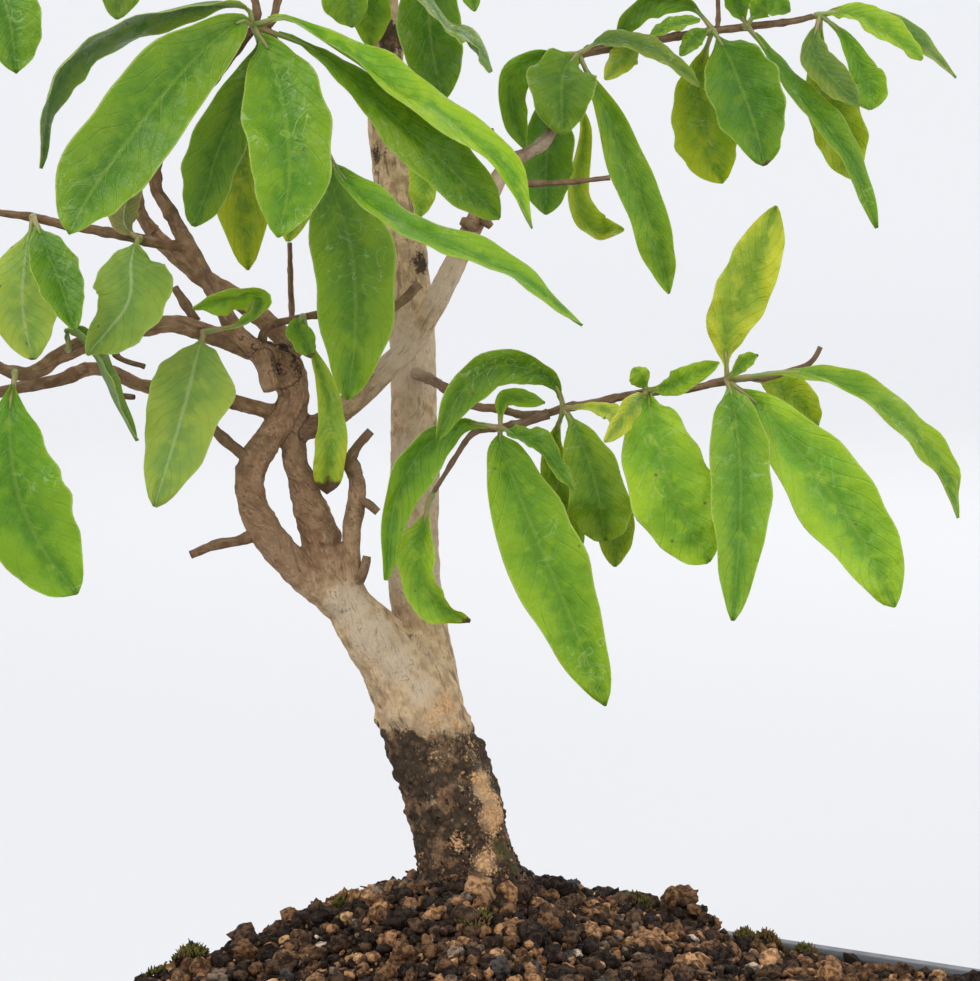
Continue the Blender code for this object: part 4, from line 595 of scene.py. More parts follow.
def in_frame(place):
    """True where the photograph's frame, with a margin, would show a place."""
    x, y = in_pixels(place)
    wide = -FRAME_MARGIN < x < FRAME_SIZE[0] + FRAME_MARGIN
    return wide and -FRAME_MARGIN < y < FRAME_SIZE[1] + FRAME_MARGIN


def smooth_line(points, steps):
    """Catmull-Rom points through a list of vectors, with so many steps for each span."""
    padded = [points[0] * 2 - points[1], *points, points[-1] * 2 - points[-2]]
    line = []
    for a, b, c, d in zip(padded, padded[1:], padded[2:], padded[3:]):
        for step in range(steps):
            t = step / steps
            square = (2 * a - 5 * b + 4 * c - d) * t**2
            cube = (3 * b - a - 3 * c + d) * t**3
            line.append(0.5 * (2 * b + (c - a) * t + square + cube))
    line.append(points[-1])
    return line


def linked(name, mesh, finish):
    """An object in the scene for a mesh, with its material."""
    made = bpy.data.objects.new(name, mesh)
    bpy.context.scene.collection.objects.link(made)
    mesh.materials.append(finish)
    return made


def mesh_object(name, points, faces, finish):
    """A mesh object from points in mm."""
    mesh = bpy.data.meshes.new(name)
    mesh.from_pydata([Vector(p) * MM for p in points], [], faces)
    mesh.update()
    return linked(name, mesh, finish)


def tube_object(name, shape, finish):
    """A smooth mesh object from a bmesh, which is used up."""
    mesh = bpy.data.meshes.new(name)
    shape.to_mesh(mesh)
    shape.free()
    mesh.shade_smooth()
    return linked(name, mesh, finish)


def bake_modifiers(made):
    """Gives an object the mesh that its modifiers make of it."""
    bpy.context.view_layer.update()
    graph = bpy.context.evaluated_depsgraph_get()
    made.data = bpy.data.meshes.new_from_object(made.evaluated_get(graph))
    made.modifiers.clear()


def points_of(made):
    """The places of a mesh's points, in mm."""
    points = np.empty(len(made.data.vertices) * 3, dtype=np.float32)
    made.data.vertices.foreach_get("co", points)
    return points.reshape(-1, 3) / MM


def rounded_loop(inset, corner_inset, height, along=0, across=0):
    """A loop round the pot: a rounded rectangle, with extra points on its long and short sides."""
    corner = POT_CORNER - corner_inset
    reach_x = POT_LENGTH / 2 - inset - corner
    reach_y = POT_WIDTH / 2 - inset - corner
    loop = []
    centres = ((1, 1), (-1, 1), (-1, -1), (1, -1))
    for quarter, (sign_x, sign_y) in enumerate(centres):
        for step in range(CORNER_STEPS + 1):
            angle = math.radians(90 * (quarter + step / CORNER_STEPS))
            x = sign_x * reach_x + corner * math.cos(angle)
            y = sign_y * reach_y + corner * math.sin(angle)
            loop.append(Vector((x, y, height)))
        extra = along if quarter in (0, 2) else across
        next_x, next_y = centres[(quarter + 1) % 4]
        angle = math.radians(90 * (quarter + 1))
        start = loop[-1]
        end = Vector(
            (next_x * reach_x + corner * math.cos(angle), next_y * reach_y + corner * math.sin(angle), height)
        )
        for step in range(1, extra + 1):
            loop.append(start.lerp(end, step / (extra + 1)))
    return loop


def loft(loops):
    """Points and faces of a skin over loops with equal counts, closed by a face at each end."""
    count = len(loops[0])
    points = [point for loop in loops for point in loop]
    faces = []
    for row in range(len(loops) - 1):
        for step in range(count):
            after = (step + 1) % count
            low = row * count
            faces.append((low + step, low + after, low + count + after, low + count + step))
    faces.append(tuple(range(count))[::-1])
    faces.append(tuple((len(loops) - 1) * count + step for step in range(count)))
    return points, faces


def inner_inset(height):
    """How far the pot's inner wall stands in from the rim's outer edge at a height."""
    return WALL + INNER_TAPER * (POT_HEIGHT - height) / (POT_HEIGHT - POT_FLOOR)


def corner_share(inset):
    """How much smaller a loop's corner is than the rim's."""
    return CORNER_FOLLOW * inset


def wall_distance(x, y):
    """How far a place on the soil is from the pot's inner wall at the rim."""
    corner = POT_CORNER - corner_share(WALL)
    over_x = abs(x) - (POT_LENGTH / 2 - WALL - corner)
    over_y = abs(y) - (POT_WIDTH / 2 - WALL - corner)
    outside = math.hypot(max(over_x, 0.0), max(over_y, 0.0))
    return corner - outside - min(max(over_x, over_y), 0.0)


def mound(x, y):
    """The soil's height before its grains: steep by the wall, then rising to the trunk."""
    edge = POT_HEIGHT - SOIL_BELOW_RIM
    out = Vector((x - TRUNK_FOOT.x, y - TRUNK_FOOT.y, 0.0))
    across = out.dot(VIEW_RIGHT) / MOUND_ACROSS
    ahead = out.dot(VIEW_LEVEL)
    ahead /= MOUND_BEHIND if ahead > 0 else MOUND_BEFORE
    crown = POT_HEIGHT + MOUND_PEAK * math.exp(-(math.hypot(across, ahead) ** MOUND_FALL))
    share = min(max(wall_distance(x, y) / MOUND_SHOULDER, 0.0), 1.0)
    height = edge + (crown - edge) * share * (2 - share)
    for frame_x, frame_y, depth, tall, radius in CLODS:
        clod = seen(frame_x, frame_y, depth)
        near = math.hypot(x - clod.x, y - clod.y) / radius
        height += tall * math.exp(-(near**4)) * min(share * 3, 1.0)
    return height


def resampled(points, radii, spacing):
    """Evenly spaced points and radii along a smooth route."""
    line = smooth_line([Vector((*point, radius)) for point, radius in zip(points, radii)], 6)
    lengths = [0.0]
    for a, b in zip(line, line[1:]):
        lengths.append(lengths[-1] + (b.xyz - a.xyz).length)
    count = max(2, round(lengths[-1] / spacing))
    places, sizes = [], []
    span = 0
    for step in range(count + 1):
        target = lengths[-1] * step / count
        while span < len(line) - 2 and lengths[span + 1] < target:
            span += 1
        share = (target - lengths[span]) / max(lengths[span + 1] - lengths[span], 1e-9)
        here = line[span].lerp(line[span + 1], min(share, 1.0))
        places.append(here.xyz)
        sizes.append(here.w)
    return places, sizes


def wood_lines():
    """Every route of wood as places and radii in mm, the trunk with its buried end first."""
    lines = {}
    for name, route in WOOD_ROUTES.items():
        places = [seen(x, y, depth) for x, y, depth, radius in route]
        radii = [radius for x, y, depth, radius in route]
        if name == "trunk":
            places = [TRUNK_FOOT - UP * ROOT_DEPTH, TRUNK_FOOT - UP * ROOT_DEPTH / 2, *places]
            radii = [radii[0] * 0.8, radii[0] * 0.95, *radii]
        lines[name] = (places, radii)
    lines.update(root_lines())
    return lines


def root_lines():
    """Surface roots that leave the trunk's foot, ride half sunk in the soil and dive at their ends."""
    lines = {}
    for number, (degrees, length, radius) in enumerate(SURFACE_ROOTS, 1):
        angle = math.radians(degrees)
        out = Vector((math.cos(angle), math.sin(angle), 0.0))
        places = []
        radii = []
        for share in (0.0, 0.35, 0.6, 0.8, 1.0):
            spot = TRUNK_FOOT + out * (ROOT_START + length * share)
            spot.z = mound(spot.x, spot.y) - ROOT_SINK * share**2 + ROOT_RISE * (1 - share) ** 2
            places.append(spot)
            radii.append(radius * (1 - 0.6 * share))
        lines[f"root_{number}"] = (places, radii)
    return lines


class Leaf:
    """One blade with its stalk: a midrib of places in mm and the numbers that shape it."""

    def __init__(self, midrib, width, turns, fold, widest, tone, facing):
        self.line = smooth_line(midrib, 8)
        self.width = width
        self.turns = turns
        self.fold = fold
        self.widest = widest
        self.tone = tone
        self.facing = facing
        self.bend = 0.0

    def centre(self, share):
        """The midrib's place at a share of the leaf's length."""
        spot = share * (len(self.line) - 1)
        index = min(int(spot), len(self.line) - 2)
        here = self.line[index].lerp(self.line[index + 1], spot - index)
        return here - self.facing * (self.bend * share)

    def half_width(self, share):
        """Half the leaf's width at a share of its length."""
        if share <= PETIOLE_SHARE:
            return PETIOLE_HALF
        blade = min((share - PETIOLE_SHARE) / (1 - PETIOLE_SHARE), 1.0)
        if blade < self.widest:
            swell = math.sin(math.pi / 2 * blade / self.widest) ** BASE_FULLNESS
            return max(self.width / 2 * swell, PETIOLE_HALF)
        swell = max(math.cos(math.pi / 2 * (blade - self.widest) / (1 - self.widest)), 0.0) ** TIP_FULLNESS
        return max(self.width / 2 * swell, TIP_HALF)

    def row(self, share):
        """The centre, the side vector and the facing vector at a share of the length."""
        centre = self.centre(share)
        ahead = (self.centre(min(share + 0.03, 1.0)) - self.centre(max(share - 0.03, 0.0))).normalized()
        side = ahead.cross(self.facing)
        if side.length < 0.05:
            side = ahead.orthogonal()
        side.normalize()
        face = side.cross(ahead)
        turn = math.radians(self.turns[0] + (self.turns[1] - self.turns[0]) * share)
        turned_side = side * math.cos(turn) + face * math.sin(turn)
        turned_face = face * math.cos(turn) - side * math.sin(turn)
        return centre, turned_side, turned_face

    def edge_points(self, share):
        """The left edge, the middle and the right edge of the blade's middle surface."""
        centre, side, face = self.row(share)
        half = self.half_width(share)
        lift = math.radians(self.fold) if share > PETIOLE_SHARE else 0.0
        out = side * (half * math.cos(lift))
        rise = face * (half * math.sin(lift))
        return centre - out + rise, centre, centre + out + rise

    def samples(self):
        """Points over the blade, for telling how near it comes to its neighbours."""
        found = []
        for i in range(SAMPLES_ALONG):
            share = SAMPLE_START + (1 - SAMPLE_START) * i / (SAMPLES_ALONG - 1)
            left, middle, right = self.edge_points(share)
            for j in range(SAMPLES_ACROSS):
                across = 2 * j / (SAMPLES_ACROSS - 1) - 1
                found.append(middle.lerp(left, -across) if across < 0 else middle.lerp(right, across))
        return np.array([tuple(point) for point in found])


class Room:
    """The places already taken by wood, hubs and leaves, each with how thick it is there."""

    def __init__(self):
        self.places = np.zeros((0, 3))
        self.thick = np.zeros(0)

    def add(self, places, thick):
        self.places = np.vstack([self.places, places])
        self.thick = np.concatenate([self.thick, np.full(len(places), thick)])

    def clearance(self, samples, limit):
        """The least distance from the samples to what is taken, up to a limit."""
        low = samples.min(axis=0) - limit - 10
        high = samples.max(axis=0) + limit + 10
        near = ((self.places > low) & (self.places < high)).all(axis=1)
        if not near.any():
            return limit
        others = self.places[near]
        gaps = np.linalg.norm(samples[:, None, :] - others[None, :, :], axis=2) - self.thick[near]
        return float(gaps.min())


def wood_room(lines):
    """The wood as many balls along its routes."""
    room = Room()
    for places, radii in lines.values():
        places, radii = resampled(places, radii, 1.0)
        for place, radius in zip(places, radii):
            room.add(np.array([tuple(place)]), radius + WOOD_CLEAR - LEAF_CLEAR)
    return room


def bend_order():
    """Every bend in the order that it is tried in, the smallest first."""
    yield 0.0
    for step in range(1, BEND_STEPS + 1):
        yield step * BEND_STEP
        yield -step * BEND_STEP


def settle(leaf, room):
    """Bends a leaf away from the viewer or towards them until it is clear, or as clear as it can be."""
    best = (-1e9, 0.0)
    for bend in bend_order():
        leaf.bend = bend
        clearance = room.clearance(leaf.samples(), 4.0)
        if clearance >= LEAF_CLEAR:
            return
        best = max(best, (clearance, bend))
    leaf.bend = best[1]


def seat_at(lines, route, spot):
    """Where a cluster's hub sits, past a route's end or beside a spot of it, and its place on the route."""
    places, radii = resampled(*lines[route], 1.0)
    if spot is None:
        return places[-1] + (places[-1] - places[-2]).normalized() * (GAP + HUB_RADIUS), places[-1]
    x, y, towards = spot
    index = min(range(1, len(places) - 1), key=lambda i: (in_pixels(places[i]) - Vector((x, y))).length)
    along = (places[index + 1] - places[index - 1]).normalized()
    near_side = (-VIEW_AHEAD + along * VIEW_AHEAD.dot(along)).normalized()
    return places[index] + near_side * towards * (radii[index] + GAP + HUB_RADIUS), places[index]


def photo_leaves(lines, room):
    """The clusters of the photograph: {name: (hub, seat, leaves)}."""
    clusters = {}
    for name, (route, spot, rows) in PHOTO_CLUSTERS.items():
        hub, seat = seat_at(lines, route, spot)
        leaves = []
        for points, width, start_turn, end_turn, fold, widest, tone in rows:
            midrib = [hub, *(seen(*point) for point in points)]
            leaf = Leaf(midrib, width, (start_turn, end_turn), fold, widest, tone, -VIEW_AHEAD)
            settle(leaf, room)
            leaves.append(leaf)
            room.add(leaf.samples(), 0.0)
        clusters[name] = (hub, seat, leaves)
    return clusters


def grown_leaf(hub, along, draw):
    """One leaf of a whorl round the end of a twig, arching out and down."""
    around = draw.uniform(0, math.tau)
    spread = math.radians(draw.uniform(*GROWN_SPREAD))
    side = along.orthogonal().normalized()
    other = along.cross(side)
    out = along * math.cos(spread) + (side * math.cos(around) + other * math.sin(around)) * math.sin(spread)
    length = draw.uniform(*GROWN_LENGTH)
    droop = draw.uniform(*GROWN_DROOP)
    midrib = [
        hub,
        hub + out * length * 0.35,
        hub + out * length * 0.70 - UP * length * droop * 0.35,
        hub + out * length * 0.95 - UP * length * droop,
    ]
    turn = draw.uniform(-GROWN_TURN, GROWN_TURN)
    twist = draw.uniform(-GROWN_TWIST, GROWN_TWIST)
    width = draw.uniform(*GROWN_WIDTH)
    fold = draw.uniform(*GROWN_FOLD)
    tone = GROWN_TONES[round(width * 100) % len(GROWN_TONES)]
    return Leaf(midrib, width, (turn, turn + twist), fold, GROWN_WIDEST, tone, UP)


def grown_leaves(lines, room):
    """The clusters past the frame's edge, which leave the frame's view as the photograph has it."""
    clusters = {}
    draw = random.Random(GROWN_SEED)
    for name, (route, count) in GROWN_CLUSTERS.items():
        places, _ = lines[route]
        along = (places[-1] - places[-2]).normalized()
        hub, seat = seat_at(lines, route, None)
        leaves = []
        for _ in range(GROWN_TRIES):
            leaf = grown_leaf(hub, along, draw)
            samples = leaf.samples()
            if any(in_frame(Vector(sample)) for sample in samples[::5]):
                continue
            if room.clearance(samples, 4.0) < LEAF_CLEAR + GROWN_SPARE:
                continue
            leaves.append(leaf)
            room.add(samples, 0.0)
            if len(leaves) == count:
                break
        clusters[name] = (hub, seat, leaves)
    return clusters


def smooth_step(value):
    """A smooth rise from 0 to 1 as a number or an array goes from 0 to 1."""
    value = np.clip(value, 0.0, 1.0)
    return value * value * (3 - 2 * value)


def attribute(made, name, kind, values):
    """Stores one value for each point of a mesh, for its material to read."""
    field = "vector" if kind == "FLOAT_VECTOR" else "color"
    stored = made.data.attributes.new(name, kind, "POINT")
    stored.data.foreach_set(field, np.asarray(values, dtype=np.float32).ravel())


def numpy_object(name, points, faces, finish):
    """A mesh object from an array of points in mm and an array of faces with equal counts."""
    mesh = bpy.data.meshes.new(name)
    points = np.asarray(points, dtype=np.float32) * MM
    faces = np.asarray(faces, dtype=np.int32)
    sides = faces.shape[1]
    mesh.vertices.add(len(points))
    mesh.vertices.foreach_set("co", points.ravel())
    mesh.loops.add(faces.size)
    mesh.loops.foreach_set("vertex_index", faces.ravel())
    mesh.polygons.add(len(faces))
    mesh.polygons.foreach_set("loop_start", np.arange(0, faces.size, sides, dtype=np.int32))
    mesh.update(calc_edges=True)
    mesh.validate()
    mesh.shade_smooth()
    return linked(name, mesh, finish)


def joined(pieces):
    """One set of points, faces and stored values from many, with the faces' numbers moved along."""
    start = 0
    points, faces, extras = [], [], []
    for piece_points, piece_faces, *rest in pieces:
        points.append(piece_points)
        faces.append(np.asarray(piece_faces) + start)
        extras.append(rest)
        start += len(piece_points)
    merged = [np.vstack(column) for column in zip(*extras)]
    return (np.vstack(points), np.vstack(faces), *merged)


def placed(made, slot_name, *nodes):
    """Rides a piece on the one body, and hides the frame's nodes that it stands for. The slot's name is not
    used.
    """
    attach(made, ROOT_BODY)
    if nodes:
        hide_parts(*nodes)


class Signal:
    """An output of a shader node. What is done to it adds a node and gives that node's output."""

    def __init__(self, socket):
        self.socket = socket
        self.tree = socket.id_data

    def __add__(self, other):
        return maths("ADD", self, other)

    def __sub__(self, other):
        return maths("SUBTRACT", self, other)

    def __rsub__(self, other):
        return maths("SUBTRACT", other, self)

    def __mul__(self, other):
        return maths("MULTIPLY", self, other)

    def __pow__(self, other):
        return maths("POWER", self, other)

    def __abs__(self):
        return maths("ABSOLUTE", self)

    def ramp(self, low, high, bottom=0.0, top=1.0):
        """A smooth step from bottom at low to top at high."""
        values = {0: self, 1: low, 2: high, 3: bottom, 4: top}
        return add(self.tree, "ShaderNodeMapRange", values, 0, interpolation_type="SMOOTHSTEP")

    def clouds(self, scale, detail=3.0, distortion=0.0):
        """Noise between about 0.25 and 0.75. The scale is in lumps a metre."""
        values = {"Vector": self, "Scale": scale, "Detail": detail, "Distortion": distortion}
        return add(self.tree, "ShaderNodeTexNoise", values, 0)

    def cells(self, scale, feature="F1"):
        """The distance to the middle of the nearest cell, or to its edge."""
        values = {"Vector": self, "Scale": scale}
        return add(self.tree, "ShaderNodeTexVoronoi", values, "Distance", feature=feature)

    def bump(self, depth, strength=1.0, under=None):
        """The normal of a relief so many mm deep, over another normal where one is given."""
        values = {"Height": self, "Distance": depth * MM, "Strength": strength}
        if under is not None:
            values["Normal"] = under
        return add(self.tree, "ShaderNodeBump", values, 0)


class Finish:
    """A material being made, with the places of its points in metres."""

    def __init__(self, name):
        self.made = bpy.data.materials.new(name)
        self.made.use_nodes = True
        self.tree = self.made.node_tree
        self.place = add(self.tree, "ShaderNodeTexCoord", {}, "Object")

    def stored(self, name, kind="Color"):
        """What the mesh stores under a name."""
        return add(self.tree, "ShaderNodeAttribute", {}, kind, attribute_name=name)

    def split(self, name, kind="Vector"):
        """The three numbers that the mesh stores under a name."""
        separate = "ShaderNodeSeparateXYZ" if kind == "Vector" else "ShaderNodeSeparateColor"
        first = add(self.tree, separate, {0: self.stored(name, kind)}, 0)
        return [Signal(output) for output in first.socket.node.outputs]

    def wired(self, **values):
        """The material, once its shader has these signals and constants."""
        shader = self.tree.nodes["Principled BSDF"]
        feed(shader, {name.replace("_", " "): value for name, value in values.items()})
        return self.made


def feed(node, inputs):
    """Sets a node's inputs, each to a signal to link or to a constant."""
    for key, value in inputs.items():
        if isinstance(value, Signal):
            node.id_data.links.new(value.socket, node.inputs[key])
        else:
            node.inputs[key].default_value = value


def add(tree, kind, inputs, output, **settings):
    """One output of a new shader node."""
    node = tree.nodes.new(kind)
    for name, value in settings.items():
        setattr(node, name, value)
    feed(node, inputs)
    return Signal(node.outputs[output])


def tree_of(*values):
    """The tree of the first signal among some values."""
    return next(value.tree for value in values if isinstance(value, Signal))


def maths(operation, first, second=0.0):
    """One sum on signals or numbers, of which one at least is a signal."""
    return add(tree_of(first, second), "ShaderNodeMath", {0: first, 1: second}, 0, operation=operation)


def mix(factor, first, second, blend="MIX"):
    """One colour laid over another. A colour is a signal or three numbers."""
    first, second = ((*colour, 1.0) if isinstance(colour, tuple) else colour for colour in (first, second))
    tree = tree_of(factor, first, second)
    return add(tree, "ShaderNodeMix", {0: factor, 6: first, 7: second}, 2, data_type="RGBA", blend_type=blend)


def tinted(colour, tint):
    """A colour multiplied by another."""
    return mix(1.0, colour, tint, "MULTIPLY")


def leaf_finish():
    """A glossy blade: veins, a darker middle, yellower edges, a pale rim, stains and a paler underside."""
    finish = Finish("leaf_blade")
    place = finish.place
    along, across, under = finish.split("blade")
    dead, stained, chance = finish.split("wear")
    tone = finish.stored("tone")
    edge = abs(across)
    broad = place.clouds(95.0, 2.0)
    mottle = place.clouds(420.0, 4.0)
    fine = place.clouds(2600.0, 3.0)
    yellow = tinted(tone, (1.75, 1.30, 0.9))
    deep = tinted(tone, (0.56, 0.72, 0.5))
    towards_edge = edge * 0.5 + broad * 1.15 + along**3.0 * 0.16
    colour = mix(towards_edge.ramp(0.72, 1.10, 0.0, 0.9), tone, yellow)
    colour = mix((edge + mottle * 1.3).ramp(0.55, 1.15, 0.75, 0.0), colour, deep)
    colour = mix(mottle.ramp(0.52, 0.66) * 0.45, colour, yellow)
    slant = along * 12.0 - edge * 2.6 + broad * 2.6
    side_vein = abs(maths("FRACT", slant) - 0.5).ramp(0.10, 0.0)
    net = place.cells(900.0, "DISTANCE_TO_EDGE").ramp(0.10, 0.0)
    veins = maths("MAXIMUM", side_vein * 0.8, net * 0.30)
    midrib = edge.ramp(0.075, 0.015)
    colour = mix(veins * 0.10, colour, (0.26, 0.40, 0.06))
    colour = mix(midrib * 0.26, colour, (0.27, 0.40, 0.06))
    below = mix(0.5, colour, (0.190, 0.275, 0.085))
    below = mix(midrib * 0.6, below, (0.38, 0.46, 0.22))
    colour = mix(under * 0.8, colour, below)
    colour = mix(edge.ramp(0.935, 0.985) * 0.5, colour, (0.42, 0.48, 0.13))
    trail = abs(place.clouds(150.0, 2.0, 1.6) - 0.5).ramp(0.012, 0.003)
    trail = trail * place.clouds(70.0, 1.0).ramp(0.50, 0.60)
    spots = place.cells(330.0).ramp(0.16, 0.09) * place.clouds(120.0, 1.0).ramp(0.56, 0.66)
    dust = maths("MAXIMUM", trail, spots * 0.6) * stained * (1.0 - under)
    colour = mix(dust * 0.28, colour, (0.56, 0.66, 0.38))
    brown = along + (mottle - 0.5) * 0.12 - dead
    colour = mix(brown.ramp(-0.012, 0.012), colour, (0.115, 0.065, 0.030))
    speck = place.cells(210.0).ramp(0.075, 0.05) * chance.ramp(0.55, 0.75)
    colour = mix(speck * 0.75, colour, (0.13, 0.075, 0.035))
    rough = mottle.ramp(0.35, 0.7, 0.24, 0.40) + dust * 0.25 + under * 0.16
    relief = veins * -1.0 + fine * 0.35 + mottle * 1.1
    pucker = place.clouds(190.0, 2.0).bump(1.6, 0.9)
    finish.wired(Base_Color=colour, Roughness=rough, Normal=relief.bump(0.13, 0.8, pucker))
    finish.wired(Subsurface_Weight=0.2, Subsurface_Scale=0.0011, Subsurface_Radius=(0.55, 1.0, 0.1))
    return finish.wired(Specular_IOR_Level=0.22)


def stalk_finish():
    finish = Finish("leaf_stalk")
    mottle = finish.place.clouds(500.0, 3.0)
    colour = mix(mottle.ramp(0.35, 0.65), (0.20, 0.27, 0.06), (0.33, 0.24, 0.10))
    return finish.wired(Base_Color=colour, Roughness=0.45, Normal=mottle.bump(0.05))


def bark_finish(name, lightness):
    """Bark: grey-brown with long fissures and flakes, and the patches stored with the mesh, of which the dark
    one also paints shade at the crotch.
    """
    finish = Finish(name)
    place = finish.place
    pale, tan, dark = finish.split("patch", "Color")
    grown = finish.stored("grain", "Vector")
    moss, brown, _ = finish.split("extra")
    mottle = place.clouds(520.0, 5.0)
    speckle = place.clouds(2300.0, 4.0)
    speckled = speckle.ramp(0.4, 0.6)
    fissure = grown.clouds(0.95, 5.0, 0.6)
    fissure_fine = grown.clouds(2.6, 4.0, 0.3)
    colour = mix(mottle.ramp(0.34, 0.68), (0.400, 0.270, 0.150), (0.680, 0.490, 0.285))
    colour = mix(place.clouds(130.0, 3.0).ramp(0.42, 0.66, 0.0, 0.55), colour, (0.540, 0.410, 0.265))
    colour = mix(brown, colour, tinted(colour, (0.55, 0.46, 0.43)))
    lit = (pale + mottle * 0.5).ramp(0.50, 1.10)
    colour = mix(lit, colour, (0.560, 0.440, 0.310))
    cracks = maths("MAXIMUM", fissure.ramp(0.45, 0.33) * (0.62 - lit), 0.0)
    colour = mix(cracks, colour, (0.110, 0.070, 0.045))
    colour = mix(fissure_fine.ramp(0.56, 0.70, 0.0, 0.35), colour, (0.600, 0.470, 0.330))
    colour = mix(fissure_fine.ramp(0.44, 0.32, 0.0, 0.45), colour, (0.250, 0.165, 0.105))
    ragged = mottle * 1.5 + speckle * 0.9
    # Where the dark mark is strong the bark turns to near-black and earth colours, with crumbs: dark knots,
    # the soil stain at the foot and, at the crotch, painted shade.
    darkened = (dark + ragged).ramp(1.40, 1.75)
    soot_and_shade = mix(speckled, (0.010, 0.007, 0.006), (0.034, 0.021, 0.015))
    earth = mix(speckled, (0.105, 0.058, 0.030), (0.240, 0.140, 0.075))
    colour = mix(darkened * 0.93, colour, mix(place.clouds(240.0, 4.0).ramp(0.54, 0.66), soot_and_shade, earth))
    crumbs = place.cells(620.0).ramp(0.34, 0.22)
    colour = mix(crumbs * darkened * 0.6, colour, (0.15, 0.085, 0.045))
    flush = (tan + ragged).ramp(1.50, 1.85)
    colour = mix(flush * 0.9, colour, mix(speckled, (0.430, 0.228, 0.102), (0.700, 0.430, 0.215)))
    green = (moss + speckle * 0.8).ramp(0.72, 1.0)
    colour = mix(green * 0.55, colour, (0.080, 0.078, 0.024))
    colour = mix(speckle.ramp(0.58, 0.74, 0.0, 0.2), colour, (0.090, 0.060, 0.040))
    colour = tinted(colour, (lightness, lightness, lightness))
    relief = fissure + fissure_fine * 0.5 + mottle * 0.6 + speckle * 0.35
    return finish.wired(Base_Color=colour, Roughness=0.86, Normal=relief.bump(0.6), Specular_IOR_Level=0.12)


def soil_finish(name, own_tone):
    """Fired and crumbly granules, each with its own colour, or the dark earth between them."""
    finish = Finish(name)
    place = finish.place
    mottle = place.clouds(900.0, 4.0)
    speckle = place.clouds(3600.0, 3.0)
    base = finish.stored("tone") if own_tone else mix(mottle, (0.020, 0.014, 0.011), (0.075, 0.045, 0.028))
    colour = mix(mottle.ramp(0.38, 0.62), tinted(base, (0.42, 0.40, 0.40)), tinted(base, (1.55, 1.5, 1.45)))
    pores = place.cells(1700.0).ramp(0.20, 0.10)
    colour = mix(pores * 0.6, colour, (0.016, 0.011, 0.009))
    colour = mix(speckle.ramp(0.62, 0.75, 0.0, 0.3), colour, (0.50, 0.36, 0.22))
    relief = mottle + speckle * 0.6 - pores * 0.6
    return finish.wired(Base_Color=colour, Roughness=0.95, Normal=relief.bump(0.4), Specular_IOR_Level=0.12)


def moss_finish():
    finish = Finish("moss")
    mottle = finish.place.clouds(800.0, 3.0)
    colour = mix(mottle.ramp(0.35, 0.65), (0.045, 0.042, 0.012), (0.150, 0.135, 0.035))
    colour = mix(finish.place.clouds(260.0, 1.0).ramp(0.48, 0.60), colour, (0.15, 0.09, 0.04))
    return finish.wired(Base_Color=colour, Roughness=0.9, Specular_IOR_Level=0.1)


def glaze_finish():
    """A dark blue-grey glaze, thin and browner where it breaks over the edges, with a few pinholes."""
    finish = Finish("pot_glaze")
    place = finish.place
    edge, bare, _ = finish.split("wear")
    broad = place.clouds(22.0, 4.0)
    mottle = place.clouds(260.0, 5.0)
    runs = add(finish.tree, "ShaderNodeMapping", {"Vector": place, "Scale": (190.0, 190.0, 22.0)}, 0)
    colour = mix(broad.ramp(0.35, 0.65), (0.034, 0.042, 0.055), (0.075, 0.086, 0.104))
    colour = mix(runs.clouds(1.0, 3.0, 0.4).ramp(0.52, 0.72, 0.0, 0.5), colour, (0.120, 0.132, 0.150))
    colour = mix(mottle.ramp(0.56, 0.72, 0.0, 0.45), colour, (0.020, 0.024, 0.032))
    colour = mix((edge + mottle * 0.7).ramp(0.95, 1.35, 0.0, 0.5), colour, (0.105, 0.100, 0.100))
    pinholes = place.cells(150.0).ramp(0.055, 0.03)
    colour = mix(pinholes * 0.8, colour, (0.012, 0.012, 0.014))
    clay = mix(mottle.ramp(0.35, 0.65), (0.200, 0.115, 0.070), (0.275, 0.170, 0.110))
    colour = mix(bare, colour, clay)
    rough = mottle.ramp(0.35, 0.7, 0.30, 0.46) + bare * 0.45
    relief = broad * 1.2 + mottle * 0.25 - pinholes * 0.4
    finish.wired(Base_Color=colour, Roughness=rough, Normal=relief.bump(0.5, 0.6))
    return finish.wired(Specular_IOR_Level=0.35)


def screen_finish():
    finish = Finish("screen_plastic")
    mottle = finish.place.clouds(700.0, 3.0)
    colour = mix(mottle.ramp(0.4, 0.7), (0.020, 0.021, 0.022), (0.060, 0.055, 0.048))
    return finish.wired(Base_Color=colour, Roughness=0.5, Normal=mottle.bump(0.06))


